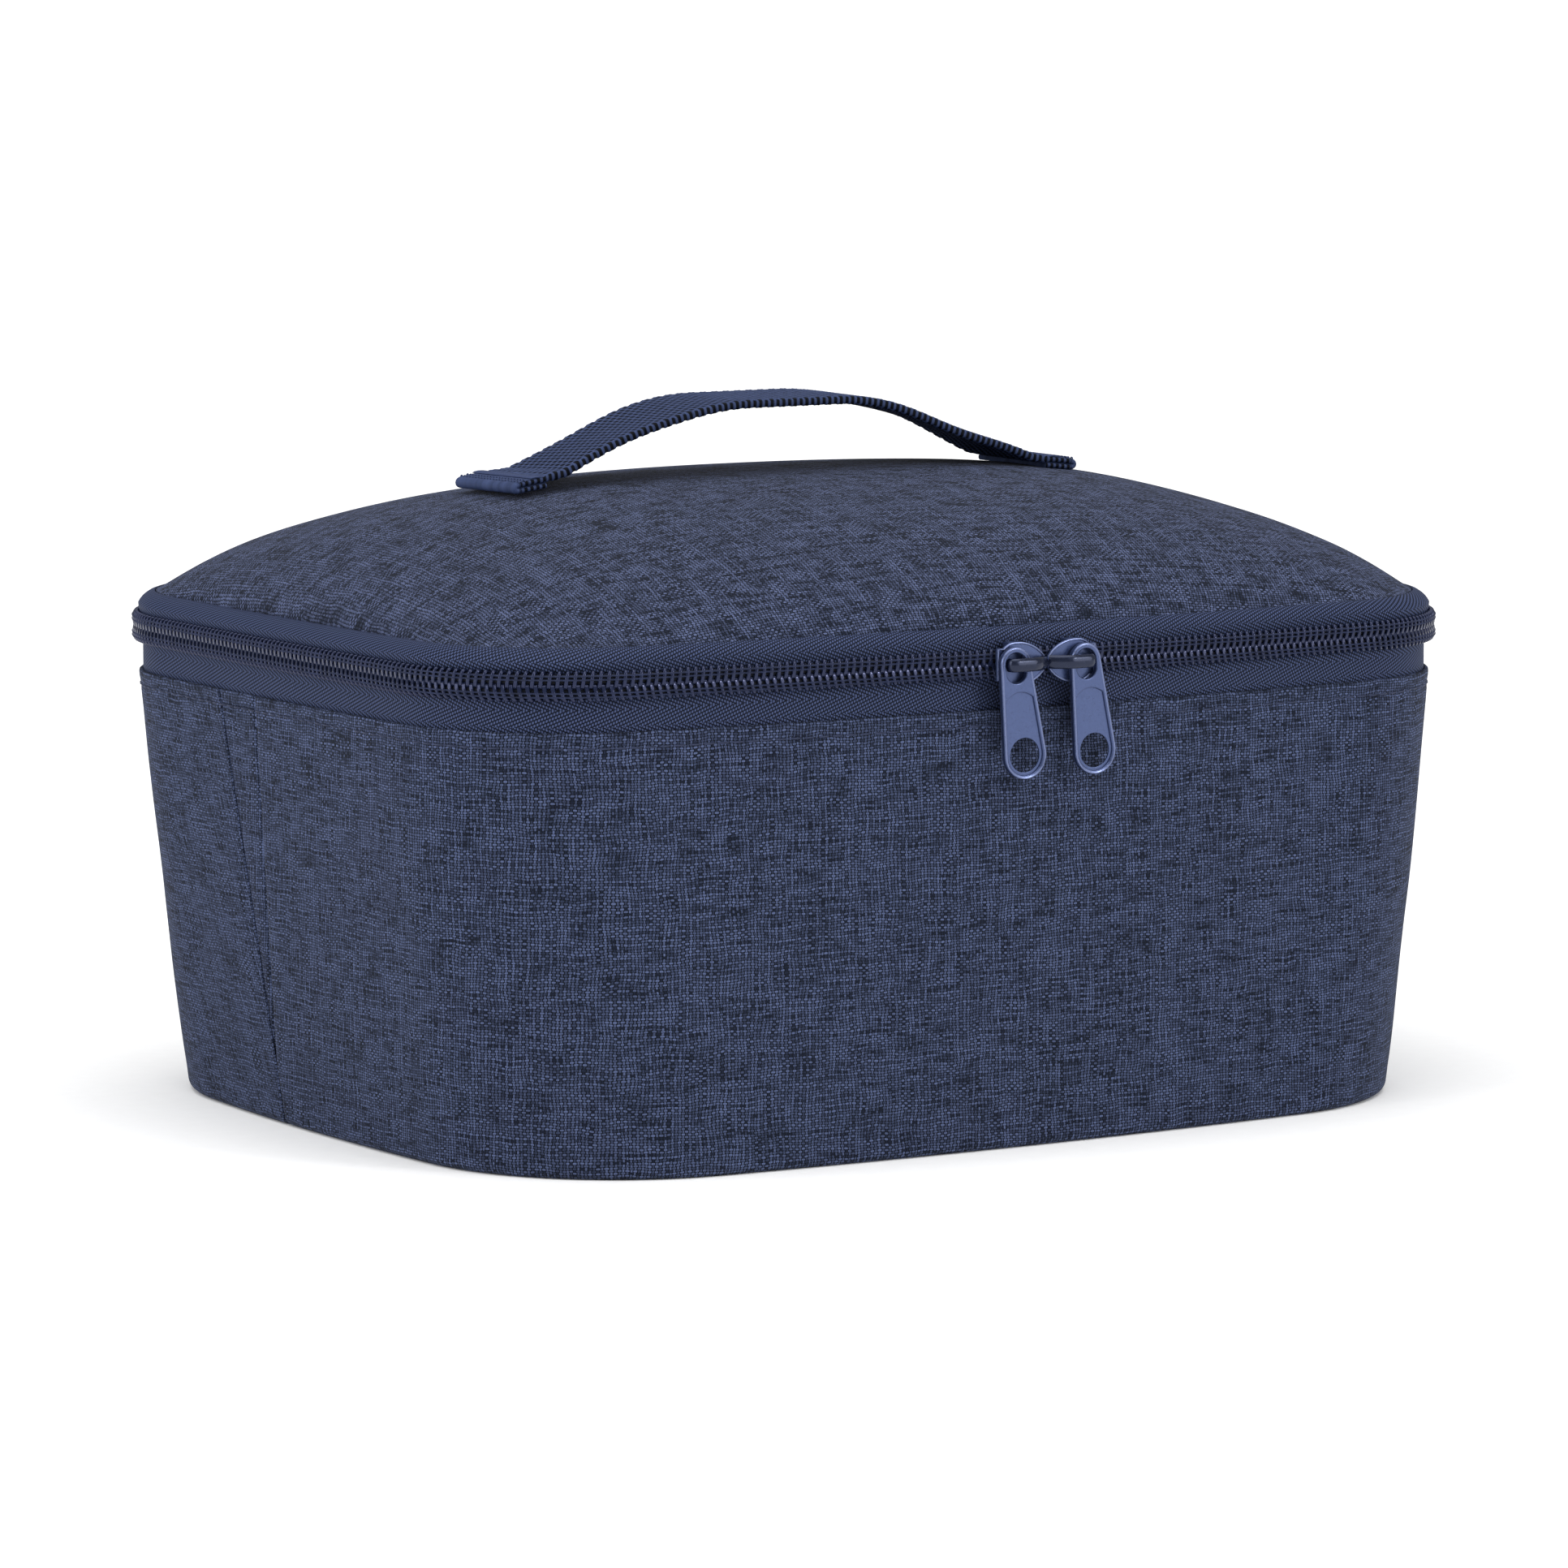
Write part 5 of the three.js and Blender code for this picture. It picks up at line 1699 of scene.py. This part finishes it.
def flat_part(loops: Loops, near: float, far: float, bevel: float, steps: int = 3) -> tuple[Array, list]:
    """Cuts a flat part with rounded edges from its outline and holes.

    Args:
        loops: The outline and the holes, as (x, z) points.
        near: Outward distance of its back face.
        far: Outward distance of its front face.
        bevel: Radius of its edges.
        steps: Facets round an edge.

    Returns:
        Points in millimetres, with outward as -Y, and faces.
    """
    curve = bpy.data.curves.new("outline", "CURVE")
    curve.dimensions, curve.fill_mode = "2D", "BOTH"
    for loop in loops:
        spline = curve.splines.new("POLY")
        spline.points.add(len(loop) - 1)
        flat = np.column_stack([loop, np.zeros(len(loop)), np.ones(len(loop))])
        spline.points.foreach_set("co", flat.ravel())
        spline.use_cyclic_u = True
    curve.extrude = (far - near) / 2 - bevel
    curve.bevel_depth, curve.bevel_resolution, curve.offset = bevel, steps, -bevel
    holder = bpy.data.objects.new("outline", curve)
    bpy.context.scene.collection.objects.link(holder)
    mesh = bpy.data.meshes.new_from_object(holder.evaluated_get(bpy.context.evaluated_depsgraph_get()))
    points = np.empty(len(mesh.vertices) * 3)
    mesh.vertices.foreach_get("co", points)
    points = points.reshape(-1, 3)
    faces = [list(p.vertices) for p in mesh.polygons]
    bpy.data.objects.remove(holder)
    bpy.data.curves.remove(curve)
    bpy.data.meshes.remove(mesh)
    points[:, 2] += (near + far) / 2
    return points[:, [0, 2, 1]] * [1, -1, 1], faces


@dataclass
class Slider:
    """A slider with its pull tab: face plate, back plate, post, flanges, bridge and the hanging tab."""

    finishes: Finishes
    side: Side
    meeting: float = 3.0
    nose_gap: float = 0.3
    proud: float = 1.5
    length: float = 13.2
    width: float = 10.0
    tail_width: float = 7.4
    waist: float = -4.9
    shoulder: float = -1.9
    cheek: float = -0.5
    full: float = 2.6
    fullness: float = 0.97
    plate: float = 1.2
    gap: float = 0.3
    rim: float = 0.5
    rim_step: float = 0.35
    plate_round: float = 0.2
    edge_round: float = 0.3
    # Places from the tail towards the nose, then up
    post: tuple[float, float, float, float] = (1.4, 4.8, -0.3, 0.3)
    flange: tuple[float, float, float, float] = (-3.2, 0.8, 4.05, 4.9)
    flange_back: float = 2.4
    sunk: float = 0.6
    # From the coil's front to the back of its tape, with the back plate one running gap further
    behind: float = 3.4
    fine_round: float = 0.1
    facets: float = 35.0
    tab_thickness: float = 1.4
    bridge_width: float = 3.1
    bridge_thickness: float = 1.5
    bridge_tail: float = 2.8
    bridge_line: tuple[tuple[float, float], ...] = (
        (-4.45, -1.9), (-4.4, -1.0), (-4.0, -0.25), (-3.0, 0.0), (-0.5, 0.0), (1.6, -0.02), (3.2, -0.5),
        (4.6, -1.35), (5.6, -2.2), (6.2, -3.0))
    leg: float = 1.2
    leg_sunk: float = 0.2
    tab_top: float = 4.05
    tab_bottom: float = 5.6
    tab_centres: float = 20.8
    eye: float = 2.75
    eye_stretch: float = 1.5
    hole: float = 3.95
    hole_drop: float = 0.1
    tab_rim: float = 0.9
    bead_width: float = 0.62
    bead_sunk: float = 0.18
    hole_round: float = 0.12
    recess: float = 0.48
    recess_start: float = 8.0
    recess_crown: float = 1.6
    lean: float = 7.5

    @property
    def towards(self) -> int:
        """Sign of X from the slider's tail to its nose."""
        return 1 if self.side is Side.LEFT else -1

    def outline(self, inset: float = 0.0) -> Array:
        """Gives the face plate's outline, drawn in by an inset."""
        tail, tip = -self.length / 2 + inset, self.length / 2 - inset
        wide, narrow = self.width / 2 - inset, self.tail_width / 2 - inset
        waist, shoulder, cheek, full = self.waist, self.shoulder, self.cheek, self.full
        bend = bezier([(waist, narrow), ((waist + shoulder) / 2, wide), (shoulder, wide)], 13)
        nose = bezier([(cheek, wide), (full, wide * self.fullness), (tip, wide / 2), (tip, 0)], 13)
        upper = np.concatenate([[[tail, narrow]], bend, nose])
        lower = upper[:-1][::-1] * [1, -1]
        return np.concatenate([upper, lower]) * [self.towards, 1]

    def place(self, points: Array) -> Array:
        """Moves points from the slider's own axes to its seat on the front of the coil."""
        _, depth, front_arc, *_ = PLAN.top
        radius = front_arc + self.proud
        middle = self.meeting - self.towards * (self.nose_gap / 2 + self.length / 2)
        turn = math.asin(middle / radius)
        cos, sin = math.cos(turn), math.sin(turn)
        turned = points @ np.array([[cos, sin, 0], [-sin, cos, 0], [0, 0, 1]])
        return turned + [middle, front_arc - depth / 2 - radius * cos, LAYERS.zip]

    def add(self, skin: Skin, part: tuple[Array, list]) -> None:
        """Adds a flat part to a mesh at the slider's seat."""
        points, faces = part
        skin.add(self.place(points), faces, np.zeros((sum(map(len, faces)), 2)))

    def box(self, tail: float, nose: float, low: float, high: float) -> Loops:
        """Gives a rectangle's outline, from its ends towards the nose and its ends upwards."""
        return [np.array([(tail, low), (nose, low), (nose, high), (tail, high)]) * [self.towards, 1]]

    def build(self) -> None:
        """Makes the slider and its tab."""
        skin, highlight_beads, bar = Skin(), Skin(), Skin()
        front, behind = self.gap + self.plate, self.behind + self.gap
        self.add(skin, flat_part([self.outline()], self.gap, front - self.rim_step, self.plate_round))
        # The bead round the plate's rim gets the paler zinc as a painted highlight
        self.bead(highlight_beads, self.outline(self.rim / 2), front - 0.3, self.rim / 2, np.eye(3), [0, 0, 0])
        self.add(skin, flat_part([self.outline()], -behind - self.plate, -behind, self.edge_round))
        post = self.box(*self.post)
        self.add(skin, flat_part(post, -behind - self.sunk, front - self.sunk, self.fine_round))
        tail, nose, near, far = self.flange
        for low, high in ((-far, -near), (near, far)):
            flange = self.box(tail, nose, low, high)
            back = self.gap - self.flange_back
            self.add(skin, flat_part(flange, back, front - self.sunk, self.plate_round))
        self.bridge(bar, front)
        name, looks = "slider_" + self.side.name.lower(), self.finishes
        dress(skin.object(name + "_body", looks.zinc, self.facets), name, "slider_metal", name)
        dress(highlight_beads.object(name + "_edge", looks.edge, self.facets), name, "slider_metal")
        # The bridge gets the darker lacquer as painted shade
        dress(bar.object(name + "_bridge", looks.bar, self.facets), name, "slider_metal")
        self.tab()

    def bead(self, skin: Skin, loop: Array, out: float, radius: float, turn: Array,
             shift: list[float]) -> None:
        """Adds a thin rounded bead along an outline.

        Args:
            skin: The mesh that gets it.
            loop: The bead's middle line, as (x, z) points.
            out: Outward distance of that line.
            radius: Radius of the bead.
            turn: Rotation of the part that it belongs to.
            shift: Where that part hangs.
        """
        keep = np.linalg.norm(loop - np.roll(loop, 1, 0), axis=1) > 1e-3
        path = np.stack([loop[keep, 0], np.full(keep.sum(), -out), loop[keep, 1]], 1)
        made = tube_skin(Skin(), path, np.array([0.0, -1.0, 0.0]), radius, radius, 8, loop=True)
        skin.add(self.place(made.points[0] @ turn + shift), made.faces, np.concatenate(made.cloth))

    def bridge(self, skin: Skin, front: float) -> None:
        """Adds the rounded bar that holds the tab, from the nose to its leg at the tail.

        Args:
            skin: The mesh that gets it.
            front: Outward distance of the plate's face.
        """
        middle = front + 2 * self.gap + self.tab_thickness + self.bridge_thickness / 2
        line = smoothed(spaced(np.array(self.bridge_line), 61), 5)
        path = np.stack([line[:, 0] * self.towards, -(middle + line[:, 1]), np.zeros(len(line))], 1)
        bar = tube_skin(Skin(), path, np.array([0.0, -1.0, 0.0]), self.bridge_width / 2,
                        self.bridge_thickness / 2, 16)
        skin.add(self.place(bar.points[0]), bar.faces, np.concatenate(bar.cloth))
        leg = arc(-self.bridge_tail, 0, self.leg, 0, 2 * math.pi, 25)[:-1] * [self.towards, 1]
        self.add(skin, flat_part([leg], front - self.sunk, middle - self.leg_sunk, self.fine_round))

    def tab(self) -> None:
        """Makes the pull tab, with its eye, hole and recessed faces."""
        spread = math.asin((self.tab_bottom - self.tab_top) / self.tab_centres)
        half, full = math.pi, 2 * math.pi

        def foot(inset: float) -> Array:
            """Gives the round lower end of the tab, drawn in by an inset."""
            return arc(0, -self.tab_centres, self.tab_bottom - inset, half - spread, full + spread)

        def body(inset: float) -> Array:
            """Gives the tab's whole outline, drawn in by an inset."""
            return np.concatenate([arc(0, 0, self.tab_top - inset, spread, half - spread), foot(inset)])

        eye = np.concatenate([arc(0, 0, self.eye, 0, half, 21),
                              arc(0, -self.eye_stretch, self.eye, half, full, 21)])
        hole = arc(0, -self.tab_centres - self.hole_drop, self.hole, 0, full, 49)[:-1]
        top = (self.tab_top + self.recess_start * math.sin(spread)) / math.cos(spread) - self.tab_rim
        crown = bezier([(top, -self.recess_start), (0, -self.recess_start + 2 * self.recess_crown),
                        (-top, -self.recess_start)], 15)
        recess = np.concatenate([crown, foot(self.tab_rim)])
        near = 2 * self.gap + self.plate
        far = near + self.tab_thickness
        plate, rims = [body(0), eye[::-1], hole[::-1]], [body(0), eye[::-1], recess[::-1]]
        skin, tab_highlight_beads = Skin(), Skin()
        cos, sin = math.cos(math.radians(self.lean)), math.sin(math.radians(self.lean))
        turn = np.array([[cos, 0, sin], [0, 1, 0], [-sin, 0, cos]])
        hang = [-self.towards * self.bridge_tail, 0, 0]
        for loops, sunk, bevel in ((plate, self.recess, self.hole_round), (rims, 0.0, self.edge_round)):
            points, faces = flat_part(loops, near + sunk, far - sunk, bevel)
            self.add(skin, (points @ turn + hang, faces))
        # The beads round the tab's faces get the paler zinc as a painted highlight
        for out in (near + self.bead_sunk, far - self.bead_sunk):
            self.bead(tab_highlight_beads, body(self.bead_width / 2 + 0.05), out, self.bead_width / 2, turn, hang)
        name, looks = "pull_tab_" + self.side.name.lower(), self.finishes
        dress(skin.object(name + "_body", looks.zinc, self.facets), name, "slider_metal", name)
        dress(tab_highlight_beads.object(name + "_edge", looks.edge, self.facets), name, "slider_metal")


@dataclass
class Studio:
    """A pale floor, soft light from above and the sides, and the camera at the photograph's angle.
    The focal length, the image size and the horizon are in pixels of the photograph."""

    azimuth: float = -31.83
    elevation: float = 7.49
    distance: float = 1.8488
    target: float = 0.0558
    focal: float = 9511.4
    image: float = 1932.0
    centre_y: float = 1052.1
    sensor: float = 36.0
    floor_reach: float = 40000.0
    room: float = 0.42
    aim: tuple[float, float, float] = (0.0, 0.0, 0.08)
    # Name, kind, place, spread in degrees or width in metres, and strength
    lamps: tuple[tuple[str, str, tuple[float, float, float], float, float], ...] = (
        ("key_softbox", "SUN", (1.0, -1.5, 0.6), 40.0, 1.05),
        ("top_softbox", "SUN", (-0.1, -0.15, 1.6), 70.0, 2.2),
        ("glint_reflector", "SUN", (0.9, -1.5, 1.0), 9.0, 0.45),
        ("left_softbox", "AREA", (-1.7, 0.1, 0.7), 1.2, 15.0))

    def build(self) -> None:
        """Makes the camera first, then the floor and the lights."""
        self.camera()
        self.floor()
        self.lights()

    def camera(self) -> None:
        """Stands the camera where the photograph was taken from."""
        data = bpy.data.cameras.new("photo_camera")
        data.sensor_width, data.lens = self.sensor, self.focal / self.image * self.sensor
        data.shift_y = (self.centre_y - self.image / 2) / self.image
        data.clip_end = 200
        turn, tilt = math.radians(self.azimuth), math.radians(self.elevation)
        back = np.array([math.sin(turn) * math.cos(tilt), -math.cos(turn) * math.cos(tilt), math.sin(tilt)])
        made = bpy.data.objects.new("photo_camera", data)
        made.location = back * self.distance + [0, 0, self.target]
        made.rotation_euler = (math.pi / 2 - tilt, 0, turn)
        bpy.context.scene.collection.objects.link(made)
        bpy.context.scene.camera = made

    def floor(self) -> None:
        """Lays a wide pale floor under the bag."""
        corners = np.array([(-1, -1, 0), (1, -1, 0), (1, 1, 0), (-1, 1, 0)]) * self.floor_reach
        paper = SmoothSurface("pale_studio_paper", "#fafafa", "#ffffff", roughness=0.9, grain=4.0)
        skin = Skin()
        skin.add(corners, [[0, 1, 2, 3]], corners[:, :2])
        skin.object("studio_floor", paper.build())

    def lights(self) -> None:
        """Hangs the softboxes and sets the room's even white light."""
        scene = bpy.context.scene
        world = bpy.data.worlds.new("studio")
        scene.world = world
        world.use_nodes = True
        light = world.node_tree.nodes["Background"].inputs
        light["Color"].default_value = (1.0, 1.0, 1.0, 1.0)
        light["Strength"].default_value = self.room
        scene.view_settings.view_transform = "Standard"
        for name, kind, place, size, power in self.lamps:
            data = bpy.data.lights.new(name, kind)
            data.energy = power
            if kind == "SUN":
                data.angle = math.radians(size)
            else:
                data.shape, data.size = "SQUARE", size
            made = bpy.data.objects.new(name, data)
            made.location = place
            x, y, z = np.array(self.aim) - np.array(place)
            made.rotation_euler = (math.atan2(math.hypot(x, y), -z), 0, math.atan2(x, -y) + math.pi)
            scene.collection.objects.link(made)


def main() -> None:
    logging.basicConfig(level=logging.INFO, format="%(name)s %(message)s")
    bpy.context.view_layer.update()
    Studio().build()
    finishes = Finishes()
    Walls(finishes).build()
    Insulation(finishes).build()
    Zip(finishes).build()
    lid = Lid(finishes)
    lid.build()
    Handle(finishes, lid).build()
    for side in Side:
        Slider(finishes, side).build()


if __name__ == "__main__":
    main()
